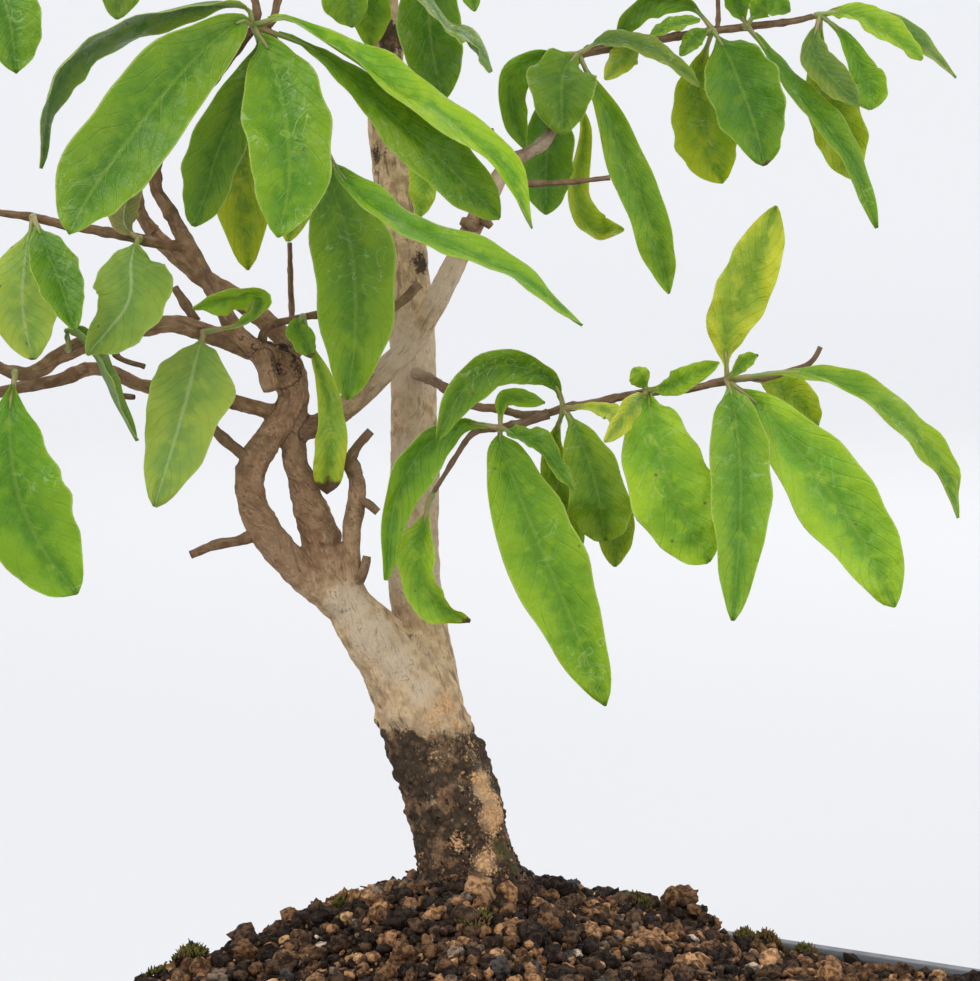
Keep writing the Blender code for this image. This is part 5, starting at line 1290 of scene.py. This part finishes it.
def blade_grid(leaf, draw):
    """One fine blade: a thin closed sheet with a grooved midrib, a keel below and waved edges."""
    start = PETIOLE_SHARE * 0.8
    shares = start + (1 - start) * np.linspace(0, 1, BLADE_ROWS) ** 0.92
    across = np.sin(np.linspace(-math.pi / 2, math.pi / 2, BLADE_COLUMNS))
    waves = [(draw.uniform(1.6, 3.4), draw.uniform(0, math.tau), draw.uniform(0.5, 1.2)) for _ in range(2)]
    curl = draw.uniform(-0.10, 0.16)
    skins = [[], []]
    marks = []
    for share in shares:
        centre, side, face = (np.array(part) for part in leaf.row(share))
        blade = max((share - PETIOLE_SHARE) / (1 - PETIOLE_SHARE), 0.0)
        half = leaf.half_width(share) if blade > 0 else PETIOLE_HALF
        half = min(half, PETIOLE_HALF * 0.7 + blade * leaf.width * 3)
        lift = math.radians(leaf.fold)
        rise = half * math.sin(lift) * (np.sqrt(across**2 + 0.02) - 0.14)
        for sign, (count, phase, size) in zip((-1, 1), waves):
            wave = math.sin(count * math.tau * blade + phase) + 0.4 * math.sin(2.7 * count * math.tau * blade)
            rise = rise + (across * sign > 0) * np.abs(across) ** 2.5 * wave * size * leaf.width * MARGIN_WAVE
        rise = rise + curl * half * (across**2 - 0.3) * math.sin(math.pi * blade)
        spots = [Vector((blade * 7.0 + waves[0][1], side_share * 1.6, waves[1][1])) for side_share in across]
        rise = rise + PUCKER * np.array([noise.noise(spot) for spot in spots]) * smooth_step(half / 3.0)
        near = np.exp(-((across * half / MIDRIB_HALF) ** 2)) * smooth_step(half / 2.0)
        thick = FINE_BLADE_THICK / 2 * (1 - 0.72 * np.abs(across) ** 5)
        ripple = [noise.noise(Vector((blade * 8.0, sign * 4.0, waves[0][1]))) for sign in (-1, 1)]
        reach = 1 + EDGE_RIPPLE * np.where(across < 0, ripple[0], ripple[1]) * np.abs(across)
        place = centre + side * (across * reach * half * math.cos(lift))[:, None]
        skins[0].append(place + face * (rise + thick - MIDRIB_GROOVE * near)[:, None])
        skins[1].append(place + face * (rise - thick - MIDRIB_KEEL * near)[:, None])
        marks.append(np.stack([np.full(BLADE_COLUMNS, blade), across], axis=1))
    return closed_sheet(skins, marks)


def closed_sheet(skins, marks):
    """Points, quads and blade marks of an upper and a lower grid, joined round their edges."""
    points = np.vstack([np.vstack(skins[0]), np.vstack(skins[1])])
    grid = np.arange(BLADE_ROWS * BLADE_COLUMNS).reshape(BLADE_ROWS, BLADE_COLUMNS)
    below = grid + grid.size
    quads = []
    for skin, turned in ((grid, False), (below, True)):
        quad = np.stack([skin[:-1, :-1], skin[:-1, 1:], skin[1:, 1:], skin[1:, :-1]], axis=-1).reshape(-1, 4)
        quads.append(quad[:, ::-1] if turned else quad)
    rim = [*grid[0, :], *grid[1:, -1], *grid[-1, -2::-1], *grid[-2:0:-1, 0]]
    after = rim[1:] + rim[:1]
    quads.append(np.array([(a, a + grid.size, b + grid.size, b) for a, b in zip(rim, after)]))
    marks = np.vstack(marks)
    above = np.column_stack([marks, np.zeros(len(marks))])
    under = np.column_stack([marks, np.ones(len(marks))])
    return points, np.vstack(quads), np.vstack([above, under])


def rod(places, radii, sides):
    """Points and faces of a round tube closed by a point at each end, and how far along each point is.

    A face of an end is a triangle that names its first point twice, so that all faces have four numbers.
    """
    points, faces, along = [], [], []
    side = None
    run = 0.0
    last = len(places) - 1
    for index, centre in enumerate(places):
        ahead = (places[min(index + 1, last)] - places[max(index - 1, 0)]).normalized()
        side = ahead.orthogonal().normalized() if side is None else side
        side = (side - ahead * side.dot(ahead)).normalized()
        other = ahead.cross(side)
        run += (centre - places[max(index - 1, 0)]).length
        for step in range(sides):
            angle = math.tau * step / sides
            points.append(centre + (side * math.cos(angle) + other * math.sin(angle)) * radii[index])
            along.append(run)
    for row in range(last):
        for step in range(sides):
            after = (step + 1) % sides
            low = row * sides
            faces.append((low + step, low + after, low + sides + after, low + sides + step))
    for row, end in ((0, places[0]), (last, places[-1])):
        centre = len(points)
        points.append(end)
        along.append(0.0 if row == 0 else run)
        for step in range(sides):
            pair = (row * sides + step, row * sides + (step + 1) % sides)
            pair = pair[::-1] if row == 0 else pair
            faces.append((centre, *pair, centre))
    return np.array([tuple(point) for point in points]), faces, np.array(along)


def add_rod(shape, places, radii, sides):
    """Adds a round tube, closed by a point at each end, to a bmesh."""
    points, faces, _ = rod(places, radii, sides)
    verts = [shape.verts.new(Vector(point) * MM) for point in points]
    for face in faces:
        shape.faces.new([verts[index] for index in dict.fromkeys(face)])


def stalk_mesh(hub, seat, leaves):
    """The petioles of a cluster with the bud that they leave the twig at."""
    shape = bmesh.new()
    for leaf in leaves:
        places = [seat.lerp(hub, 0.3), hub.lerp(leaf.centre(0.03), 0.5)]
        places.extend(leaf.centre(share) for share in STALK_SHARES)
        radii = [STALK_RADIUS * size for size in STALK_SIZES]
        add_rod(shape, places, radii, STALK_SIDES)
    out = (hub - seat).normalized()
    for scale, shift in ((1.0, 0.0), (0.75, 0.7)):
        bud = bmesh.ops.create_icosphere(shape, subdivisions=2, radius=BUD_RADIUS * scale * MM)["verts"]
        turn = out.to_track_quat("Z", "Y").to_matrix()
        for vert in bud:
            lump = 1 + 0.25 * noise.noise(vert.co * 900 + hub)
            vert.co = turn @ Vector((vert.co.x * 0.8, vert.co.y * 0.8, vert.co.z * 1.2)) * lump
            vert.co += (hub.lerp(seat, 0.35) + out * shift) * MM
    return shape


def make_cluster(name, hub, seat, leaves, finishes, draw):
    """The blades of one cluster, and its stalks with their bud."""
    tip = DEAD_TIPS.get(name)
    pieces = []
    for number, leaf in enumerate(leaves):
        points, quads, marks = blade_grid(leaf, draw)
        tone = np.array(LEAF_TONES[leaf.tone]) * draw.uniform(0.9, 1.12)
        tone = tone * (draw.uniform(0.92, 1.12), 1.0, draw.uniform(0.8, 1.25))
        dead = tip if tip and number in (0, 1) else draw.choice(DEAD_FROM)
        wear = (dead, draw.uniform(0.4, 1.0), draw.random())
        count = len(points)
        colour = np.tile((*tone, 1.0), (count, 1))
        pieces.append((points, quads, marks, colour, np.tile(wear, (count, 1))))
    points, faces, marks, colours, wears = joined(pieces)
    blades = numpy_object(name + "_blades", points, faces, finishes[0])
    attribute(blades, "blade", "FLOAT_VECTOR", marks)
    attribute(blades, "tone", "FLOAT_COLOR", colours)
    attribute(blades, "wear", "FLOAT_VECTOR", wears)
    placed(blades, "leaf", name)
    placed(tube_object(name + "_stalks", stalk_mesh(hub, seat, leaves), finishes[1]), "leaf")


def wood_parts(lines):
    """The thick start of each route, for the bark's one skin, and its thin rest, for the twigs."""
    thick, thin = [], []
    for name, (places, radii) in lines.items():
        places, radii = resampled(places, radii, BARK_RINGS)
        radii = [radius * SLIMMER.get(name, 1.0) for radius in radii]
        strong = [index for index, radius in enumerate(radii) if radius >= THICK_ENOUGH]
        last = strong[-1] if strong else -1
        if last > SHORTEST_LIMB:
            thick.append((places[: last + 1], radii[: last + 1]))
        if last < len(places) - 2:
            start = max(last - TWIG_OVERLAP, 0)
            thin.append((places[start:], radii[start:]))
    return thick, thin


def patch_strength(points, patches):
    """How strongly each point is within any of the patches."""
    total = np.zeros(len(points))
    for x, y, depth, reach, strength in patches:
        away = np.linalg.norm(points - np.array(seen(x, y, depth)), axis=1)
        total = np.maximum(total, strength * np.exp(-((away / reach) ** 2)))
    return total


def bark_marks(made, grain, thinness):
    """Stores on the bark where it is pale, tan, dark (dark knots, the soil stain at the foot and painted
    shade at the crotch), brown and mossy, and its stretched grain.
    """
    points = points_of(made)
    rise = points[:, 2] - TRUNK_FOOT.z
    beside = np.hypot(points[:, 0] - TRUNK_FOOT.x, points[:, 1] - TRUNK_FOOT.y)
    darkened = smooth_step((STAIN_TOP - rise) / STAIN_FADE) * (beside < STAIN_REACH) * STAIN_STRENGTH
    # The dark mark joins the soil stain at the foot with the dark knots and with the painted shade at the
    # crotch.
    dark = np.maximum(patch_strength(points, DARK_BARK), darkened)
    tan = patch_strength(points, TAN_BARK)
    dark = dark * (1 - 0.7 * tan)
    pale = patch_strength(points, PALE_BARK)
    moss = patch_strength(points, MOSSY_BARK)
    attribute(made, "patch", "FLOAT_COLOR", np.column_stack([pale, tan, dark, np.ones(len(points))]))
    beyond = np.array([BROWN_SIDE - in_pixels(Vector(point))[0] for point in points])
    above = smooth_step((rise - BROWN_FROM) / BROWN_FADE)
    brown = np.maximum(smooth_step(beyond / BROWN_SIDE_FADE) * above, thinness)
    attribute(made, "extra", "FLOAT_VECTOR", np.column_stack([moss, brown, np.zeros(len(points))]))
    attribute(made, "grain", "FLOAT_VECTOR", grain)


def route_tree(parts):
    """A search tree over the routes' points, with each point's direction and radius."""
    rows = []
    for number, (places, radii) in enumerate(parts):
        along = 0.0
        for index, place in enumerate(places):
            before = places[max(index - 1, 0)]
            ahead = places[min(index + 1, len(places) - 1)] - before
            along += (place - before).length
            rows.append((place, ahead.normalized(), radii[index], along + number * ROUTE_STEP))
    tree = KDTree(len(rows))
    for index, row in enumerate(rows):
        tree.insert(row[0], index)
    tree.balance()
    return tree, rows


def grain_of(place, row):
    """A place in coordinates that run with the limb or the trunk, squeezed along it for long fissures."""
    centre, ahead, _, along = row
    offset = place - centre
    run = offset.dot(ahead)
    grain = ahead.rotation_difference(UP) @ (offset - ahead * run)
    grain = Vector((grain.x, grain.y, (along + run) * GRAIN_SQUEEZE))
    from_foot = place - TRUNK_FOOT
    rise = from_foot.dot(TRUNK_LEAN)
    in_trunk = from_foot - TRUNK_LEAN * rise * (1 - GRAIN_SQUEEZE)
    return grain.lerp(in_trunk, min(max((LEAN_TOP - from_foot.z) / LEAN_FADE, 0.0), 1.0))


def bark_relief(place, grain, radius, roughness):
    """How far the bark stands out at a place, in mm: long ridges, lumps and loose flakes."""
    ridges = noise.noise(grain * 0.85) * 0.6 + noise.noise(grain * 2.1) * 0.3
    lumps = noise.noise(place * 0.33) * 0.9 + noise.noise(place * 0.9) * 0.35
    plates = noise.voronoi(place * 0.42)[0][0]
    size = min(radius / 6.0, 1.0) ** 0.7
    smooth_wood = size * (0.16 * ridges + 0.22 * lumps)
    rough_wood = size * (0.55 * ridges + 0.85 * lumps + 0.75 * (0.55 - plates))
    return smooth_wood + (rough_wood - smooth_wood) * roughness


def bark_roughness(place, radius, knot):
    """How rough the bark is at a place, and how slim its limb is: each from 0 up."""
    rise = place.z - TRUNK_FOOT.z
    low = min(max((ROUGH_BELOW - rise) / ROUGH_FADE, 0.0), ROUGH_MOST) if radius > TRUNK_FROM else 0.0
    near_knot = math.exp(-(((place - knot).length / KNOT_REACH) ** 2))
    slim = min(max((SLIM_BELOW - radius) / SLIM_FADE, 0.0), 1.0)
    knobbly = KNOBBLY if radius < LIMB_BELOW and in_pixels(place).x < BROWN_SIDE else 0.3 * slim
    return max(low, 1.1 * near_knot, knobbly, ROUGH_LEAST), slim


def make_bark(parts, finish):
    """One skin over the trunk, the limbs and the roots, with the bark's relief."""
    shape = bmesh.new()
    for places, radii in parts:
        add_rod(shape, places, radii, BARK_SIDES)
    bark = tube_object("bark", shape, finish)
    remesh = bark.modifiers.new("skin", "REMESH")
    remesh.mode = "VOXEL"
    remesh.voxel_size = BARK_VOXEL * MM
    relax = bark.modifiers.new("relax", "SMOOTH")
    relax.factor = 0.5
    relax.iterations = 5
    bake_modifiers(bark)
    tree, rows = route_tree(parts)
    knot = seen(*KNOT)
    grains, moved, thinness = [], [], []
    for vert in bark.data.vertices:
        place = vert.co / MM
        row = rows[tree.find(place)[1]]
        radius = row[2]
        grain = grain_of(place, row)
        roughness, slim = bark_roughness(place, radius, knot)
        thinness.append(slim * 0.8)
        grains.append(tuple(grain))
        moved.append(tuple(place + vert.normal * bark_relief(place, grain, radius, roughness)))
    bark.data.vertices.foreach_set("co", (np.array(moved) * MM).ravel())
    bark.data.update()
    bark.data.shade_smooth()
    bark.data.materials.clear()
    bark.data.materials.append(finish)
    bark_marks(bark, grains, np.array(thinness))
    placed(bark, "bark", "wood")
    return bark


def make_twigs(parts, finish, draw):
    """The thin twigs, with a swelling at each node and small lumps."""
    pieces = []
    for places, radii in parts:
        if len(places) < 3:
            continue
        shift = draw.uniform(0, TWIG_NODE_SPACING)
        sizes = []
        for index, radius in enumerate(radii):
            past_node = (index * BARK_RINGS + shift) % TWIG_NODE_SPACING
            to_node = min(past_node, TWIG_NODE_SPACING - past_node)
            swell = TWIG_SWELL * math.exp(-((to_node / TWIG_SWELL_REACH) ** 2))
            sizes.append(radius * (1 + swell + 0.10 * noise.noise(places[index] * 0.7)))
        points, faces, along = rod(places, sizes, TWIG_SIDES)
        around = np.arange(len(points)) % TWIG_SIDES
        lumps = [0.09 * noise.noise(Vector(point) * 1.3) for point in points]
        centres = np.array([tuple(place) for place in places for _ in range(TWIG_SIDES)])
        centres = np.vstack([centres, points[len(centres) :]])
        points = centres + (points - centres) * (1 + np.array(lumps) / max(min(radii), 0.3))[:, None]
        pieces.append((points, faces, np.column_stack([around * 0.45, along * 0.16, around * 0.2])))
    points, faces, grains = joined(pieces)
    twigs = numpy_object("twigs", points, faces, finish)
    bark_marks(twigs, grains, np.full(len(points), TWIG_BROWN))
    placed(twigs, "bark")


def granule_bed(x, y):
    """The height that the granules lie at: the mound, lower by the wall and where the photo's soil drops."""
    height = mound(x, y)
    across = in_pixels(Vector((x, y, height)))[0]
    back_up = 1 - 0.5 * smooth_step((across - DROP_END) / DROP_END_WIDTH)
    drop = smooth_step((across - DROP_START) / DROP_WIDTH) * back_up
    near_wall = math.exp(-max(wall_distance(x, y), 0.0) / 4.0)
    broad = 1.5 * noise.noise(Vector((x * 0.16, y * 0.16, 0.0)))
    lump = broad + 0.9 * noise.noise(Vector((x * 0.4, y * 0.4, 4.0)))
    return height + lump * (1 - near_wall) * (1 - 0.6 * drop) - RIGHT_DROP * drop - WALL_DIP * near_wall


def on_bed(x, y):
    """Where the line of sight through a pixel meets the granules, or its last place inside the wall."""
    last = None
    for step in range(BED_STEPS):
        place = seen(x, y, BED_NEAREST + step * 0.5)
        if wall_distance(place.x, place.y) > MOSS_FROM_WALL:
            last = place
            if place.z < granule_bed(place.x, place.y):
                break
    return last


def make_bed(finish):
    """The dark earth under the granules, from the pot's wall up to the trunk."""
    loops = []
    edge = POT_HEIGHT - SOIL_BELOW_RIM
    for height in (edge - BED_DEPTH, edge - BED_DEPTH / 2, edge - BED_DROP):
        inset = inner_inset(height)
        loops.append(rounded_loop(inset + GAP, corner_share(inset) + GAP, height, BED_AROUND, BED_AROUND))
    rim = loops[-1]
    centre = Vector((TRUNK_FOOT.x, TRUNK_FOOT.y, edge))
    for ring in range(1, BED_RINGS + 1):
        share = ring / (BED_RINGS + 1)
        loop = []
        for point in rim:
            spot = point.lerp(centre, share)
            lump = noise.noise(spot * 0.9) + 0.6 * noise.noise(spot * 2.2)
            spot.z = granule_bed(spot.x, spot.y) - BED_DROP + lump * 0.55 * min(share * 8, 1.0)
            loop.append(spot)
        loops.append(loop)
    points, faces = loft(loops)
    bed = mesh_object("soil_bed", points, faces, finish)
    bed.data.shade_smooth()
    placed(bed, "soil", "soil")


def granule_shapes(smoothness):
    """A few lumpy pebbles with sharp-ish corners, as arrays of points about a unit ball, and their faces."""
    shapes = []
    for number in range(GRANULE_SHAPES):
        shape = bmesh.new()
        bmesh.ops.create_icosphere(shape, subdivisions=smoothness, radius=1.0)
        points = []
        for vert in shape.verts:
            shift = Vector((number * 5.1, smoothness * 3.7, 0.0))
            lump = 0.48 * noise.noise(vert.co * 1.2 + shift) + 0.38 * noise.noise(vert.co * 3.1 + shift)
            flat = 0.30 * noise.voronoi(vert.co * 1.6 + shift)[0][0] - 0.1
            points.append(tuple(vert.co * (1.0 + lump + flat)))
        faces = [[vert.index for vert in face.verts] for face in shape.faces]
        shape.free()
        shapes.append((np.array(points), np.array(faces)))
    return shapes


def random_turn(draw):
    """A random rotation as a 3 by 3 array."""
    axis = Vector((draw.gauss(0, 1), draw.gauss(0, 1), draw.gauss(0, 1))).normalized()
    return np.array(Matrix.Rotation(draw.uniform(0, math.tau), 3, axis))


def pick_tone(draw):
    """The colour of one granule."""
    at = draw.random() * sum(share for _, share in GRANULE_TONES)
    for tone, share in GRANULE_TONES:
        at -= share
        if at <= 0:
            break
    jitter = draw.uniform(0.75, 1.25)
    return (*(part * jitter for part in tone), 1.0)


def make_granules(name, spacing, smallest, largest, smoothness, kept, finish, extra=()):
    """Granules scattered over the mound on a shaken grid, with some more at given places."""
    draw = random.Random(SOIL_SEED + smoothness)
    shapes = granule_shapes(smoothness)
    spots = []
    rows = int(POT_WIDTH / (spacing * ROW_SPACING))
    columns = int(POT_LENGTH / spacing)
    for row in range(rows + 1):
        for column in range(columns + 1):
            x = -POT_LENGTH / 2 + (column + 0.5 * (row % 2) + draw.uniform(-0.4, 0.4)) * spacing
            y = -POT_WIDTH / 2 + (row * ROW_SPACING + draw.uniform(-0.4, 0.4)) * spacing
            radius = smallest + (largest - smallest) * draw.random() ** 1.6
            in_trunk = math.hypot(x - TRUNK_FOOT.x, y - TRUNK_FOOT.y) < TRUNK_CLEAR + radius * 0.4
            if draw.random() > kept or wall_distance(x, y) < radius * 0.9 or in_trunk:
                continue
            lift = draw.uniform(-0.35, 0.45) * radius
            spots.append((Vector((x, y, granule_bed(x, y) + lift)), radius))
    spots.extend(extra)
    pieces = []
    for spot, radius in spots:
        points, faces = shapes[draw.randrange(GRANULE_SHAPES)]
        stretch = np.array([draw.uniform(0.85, 1.2), draw.uniform(0.75, 1.05), draw.uniform(0.6, 0.95)])
        points = (points * stretch) @ random_turn(draw).T * radius + np.array(spot)
        pieces.append((points, faces, np.tile(pick_tone(draw), (len(points), 1))))
    points, faces, colours = joined(pieces)
    made = numpy_object(name, points, faces, finish)
    attribute(made, "tone", "FLOAT_COLOR", colours)
    placed(made, "soil")


def trunk_grains(bark):
    """Small grains that stick to the trunk's foot."""
    draw = random.Random(SOIL_SEED)
    floor = TRUNK_FOOT.z - TRUNK_GRAIN_SINK
    low = [vert for vert in bark.data.vertices if 0 < vert.co.z / MM - floor < TRUNK_GRAIN_TOP]
    tan = patch_strength(np.array([tuple(vert.co / MM) for vert in low]), TAN_BARK)
    low = [vert for vert, strength in zip(low, tan) if strength < 0.35]
    grains = []
    for _ in range(TRUNK_GRAINS):
        vert = draw.choice(low)
        if draw.random() * TRUNK_GRAIN_TOP > vert.co.z / MM - floor:
            grains.append((vert.co / MM - vert.normal * 0.15, draw.uniform(0.2, 0.5)))
    return grains


def make_debris(finish):
    """Bits of bark and dead root that lie on the soil."""
    draw = random.Random(SOIL_SEED + 9)
    shape = bmesh.new()
    while len(shape.verts) < DEBRIS * (4 * DEBRIS_SIDES + 2):
        x = draw.uniform(-POT_LENGTH / 2, POT_LENGTH / 2)
        y = draw.uniform(-POT_WIDTH / 2, POT_WIDTH / 2)
        from_trunk = math.hypot(x - TRUNK_FOOT.x, y - TRUNK_FOOT.y)
        if wall_distance(x, y) < DEBRIS_FROM_WALL or from_trunk < DEBRIS_FROM_TRUNK:
            continue
        angle = draw.uniform(0, math.tau)
        length = draw.uniform(2.0, 5.0)
        lift = draw.uniform(0.8, 1.3)
        tilt = draw.uniform(-1.2, 1.2)
        places = []
        for share in (-0.5, -0.2, 0.2, 0.5):
            at = Vector((x + math.cos(angle) * length * share, y + math.sin(angle) * length * share, 0.0))
            at.z = granule_bed(x, y) + lift + share * tilt
            places.append(at)
        radius = draw.uniform(0.15, 0.4)
        add_rod(shape, places, [radius * 0.7, radius, radius * 0.9, radius * 0.5], DEBRIS_SIDES)
    debris = tube_object("soil_debris", shape, finish)
    points = points_of(debris)
    bark_marks(debris, points, np.ones(len(points)))
    placed(debris, "soil")


def make_moss(finish):
    """Tufts of short moss shoots, each a small curved spike."""
    draw = random.Random(SOIL_SEED + 3)
    shape = bmesh.new()
    for x, y, radius, count, heap in MOSS_TUFTS:
        centre = on_bed(x, y)
        for _ in range(count):
            away = radius * math.sqrt(draw.random())
            angle = draw.uniform(0, math.tau)
            out = Vector((math.cos(angle), math.sin(angle), 0.0))
            foot = centre + out * away
            if wall_distance(foot.x, foot.y) < 0.6:
                continue
            foot.z = granule_bed(foot.x, foot.y) + draw.uniform(0.5, 1.1) + heap * (1 - (away / radius) ** 2)
            lean = out * (0.5 * away / radius + draw.uniform(-0.3, 0.3))
            tall = draw.uniform(0.5, 1.4) * (1.2 - 0.5 * away / radius)
            places = [foot, foot + (UP + lean * 0.4) * tall * 0.5, foot + (UP + lean) * tall]
            thick = draw.uniform(0.10, 0.22)
            add_rod(shape, places, [thick, thick * 1.1, thick * 0.35], 4)
    placed(tube_object("moss", shape, finish), "soil")


def arc(inset, height, radius, start, end, steps):
    """Insets and heights of a round edge of the pot's profile, from one bearing to another in degrees."""
    points = []
    for step in range(steps + 1):
        angle = math.radians(start + (end - start) * step / steps)
        points.append((inset - radius * math.cos(angle), height + radius * math.sin(angle)))
    return points


def make_pot(finish):
    """The pot with soft edges, its lip, plinth and drain holes."""
    lip_foot = POT_HEIGHT - LIP_HEIGHT
    edge = EDGE_ROUND
    small = edge / 2
    profile = [(PLINTH_INSET + 1.0, 0.0), *arc(PLINTH_INSET + small, small, small, -90, 0, 3)]
    profile += [(PLINTH_INSET, PLINTH_HEIGHT - small), (PLINTH_INSET, PLINTH_HEIGHT)]
    profile += [(PLINTH_INSET - 0.6, PLINTH_HEIGHT)]
    profile += [*arc(FOOT_INSET + edge * 1.2, PLINTH_HEIGHT + edge, edge, -90, 0, 4)]
    for step in range(1, 9):
        share = step / 9
        bow = 0.5 * math.sin(math.pi * share)
        inset = FOOT_INSET + (LIP_PROUD - FOOT_INSET) * share - bow * 0.2
        profile.append((inset, PLINTH_HEIGHT + edge + (lip_foot - PLINTH_HEIGHT - edge) * share))
    profile += [(LIP_PROUD, lip_foot - 0.5), (LIP_PROUD - 0.3, lip_foot)]
    profile += arc(edge, lip_foot + edge, edge, -90, 0, 4)
    profile += arc(edge, POT_HEIGHT - edge, edge, 0, 90, 5)
    profile += arc(WALL - edge, POT_HEIGHT - edge, edge, 90, 180, 5)
    profile += [(inner_inset(POT_HEIGHT - 12), POT_HEIGHT - 12), (inner_inset(POT_FLOOR + 3), POT_FLOOR + 3)]
    profile += [(inner_inset(POT_FLOOR) + 0.6, POT_FLOOR)]
    loops = [rounded_loop(inset, corner_share(inset), height, 10, 8) for inset, height in profile]
    points, faces = loft(loops)
    pot = mesh_object("glazed_pot", points, faces, finish)
    drills = []
    for place in DRAIN_PLACES:
        bottom = []
        for side in range(DRAIN_SIDES * 2):
            angle = math.pi * side / DRAIN_SIDES
            x = place + DRAIN_RADIUS * math.cos(angle)
            bottom.append(Vector((x, DRAIN_RADIUS * math.sin(angle), -1.0)))
        top = [point + UP * (POT_FLOOR + 2.0) for point in bottom]
        drills.append(mesh_object("drain_drill", *loft([bottom, top]), finish))
    for drill in drills:
        cut = pot.modifiers.new("drain", "BOOLEAN")
        cut.object = drill
    bake_modifiers(pot)
    for drill in drills:
        bpy.data.objects.remove(drill, do_unlink=True)
    pot.data.shade_smooth()
    pot.data.set_sharp_from_angle(angle=math.radians(40))
    height = points_of(pot)[:, 2]
    edges = ((POT_HEIGHT - 0.4, 0.9, 1.0), (lip_foot + 0.3, 0.6, 0.8), (PLINTH_HEIGHT + edge, 0.7, 0.7))
    worn = sum(strength * np.exp(-(((height - at) / reach) ** 2)) for at, reach, strength in edges)
    bare = smooth_step((0.9 - height) / 0.5)
    attribute(pot, "wear", "FLOAT_VECTOR", np.column_stack([worn, bare, np.zeros(len(height))]))
    placed(pot, "pot_glaze", "pot")


def stage_finish():
    """A plain pale surface, a little darker round the object than far from it: painted shade that evens out
    the lamps' stronger light on the floor there.
    """
    finish = Finish("studio_white")
    mottle = finish.place.clouds(3.0, 2.0)
    away = add(finish.tree, "ShaderNodeVectorMath", {0: finish.place}, "Value", operation="LENGTH")
    near, far = (mix(mottle, tone, tuple(part * 1.02 for part in tone)) for tone in (STAGE_NEAR, STAGE_FAR))
    colour = mix(away.ramp(0.3, 2.4), near, far)
    return finish.wired(Base_Color=colour, Roughness=0.95, Specular_IOR_Level=0.1)


def make_stage():
    """A pale floor that sweeps up into a pale wall behind the object."""
    profile = [(-FLOOR_REACH * 2, 0.0), (FLOOR_REACH - BEND_RADIUS, 0.0)]
    for step in range(1, 13):
        angle = math.pi / 2 * step / 12
        across = FLOOR_REACH - BEND_RADIUS + BEND_RADIUS * math.sin(angle)
        profile.append((across, BEND_RADIUS * (1 - math.cos(angle))))
    profile.append((FLOOR_REACH, WALL_HEIGHT))
    points, faces = [], []
    for ahead, height in profile:
        for side in (-FLOOR_REACH * 3, FLOOR_REACH * 3):
            points.append((VIEW_RIGHT * side + VIEW_LEVEL * ahead + UP * height) / MM)
    for row in range(len(profile) - 1):
        faces.append((row * 2, row * 2 + 1, row * 2 + 3, row * 2 + 2))
    floor = mesh_object("studio_floor", points, faces, stage_finish())
    floor.data.shade_smooth()


def soft_light(name, towards, distance, size, power, colour):
    """A square soft light that shines on the tree from a direction."""
    light = bpy.data.lights.new(name, "AREA")
    light.shape = "SQUARE"
    light.size = size
    light.energy = power
    light.color = colour
    lamp = bpy.data.objects.new(name, light)
    away = (VIEW_RIGHT * towards[0] + VIEW_LEVEL * towards[1] + UP * towards[2]).normalized()
    lamp.location = LIGHT_AIM * MM + away * distance
    lamp.rotation_euler = away.to_track_quat("Z", "Y").to_euler()
    bpy.context.scene.collection.objects.link(lamp)


def make_lights():
    """Three soft lights and an even glow from all round."""
    for light in LIGHTS:
        soft_light(*light)
    world = bpy.data.worlds.new("studio")
    world.use_nodes = True
    background = world.node_tree.nodes["Background"]
    background.inputs[0].default_value = (0.96, 0.98, 1.0, 1.0)
    background.inputs[1].default_value = WORLD_LIGHT
    bpy.context.scene.world = world
    bpy.context.scene.view_settings.view_transform = "Standard"


def make_camera():
    """The camera stands where the photograph was taken from, by the frame's own viewpoint."""
    lens = bpy.data.cameras.new("camera")
    camera = bpy.data.objects.new("camera", lens)
    turn = Matrix((VIEW_RIGHT, VIEW_UP, -VIEW_AHEAD)).transposed().to_4x4()
    camera.matrix_world = Matrix.Translation(EYE * MM) @ turn
    lens.sensor_width = SENSOR_WIDTH
    lens.lens = SENSOR_WIDTH * PIXELS_PER_SLOPE / FRAME_SIZE[0]
    lens.clip_start = 0.01
    bpy.context.scene.collection.objects.link(camera)
    bpy.context.scene.camera = camera


def main():
    make_camera()
    make_lights()
    make_stage()
    bark_skin = bark_finish("bark", 1.0)
    twig_skin = bark_finish("twig_bark", 0.68)
    lines = wood_lines()
    thick, thin = wood_parts(lines)
    bark = make_bark(thick, bark_skin)
    make_twigs(thin, twig_skin, random.Random(TWIG_SEED))
    make_bed(soil_finish("soil_earth", False))
    grit = soil_finish("soil_grit", True)
    stuck = trunk_grains(bark)
    for row in GRANULES:
        make_granules(*row, grit, stuck if row[0] == "soil_fines" else ())
    make_debris(twig_skin)
    make_moss(moss_finish())
    make_pot(glaze_finish())
    plastic = screen_finish()
    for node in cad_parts:
        if node.startswith("drain_screen"):
            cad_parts[node].material_slots[0].material = plastic
    room = wood_room(lines)
    clusters = photo_leaves(lines, room)
    clusters.update(grown_leaves(lines, room))
    finishes = (leaf_finish(), stalk_finish())
    draw = random.Random(BLADE_SEED)
    for name, (hub, seat, leaves) in clusters.items():
        make_cluster(name, hub, seat, leaves, finishes, draw)


main()
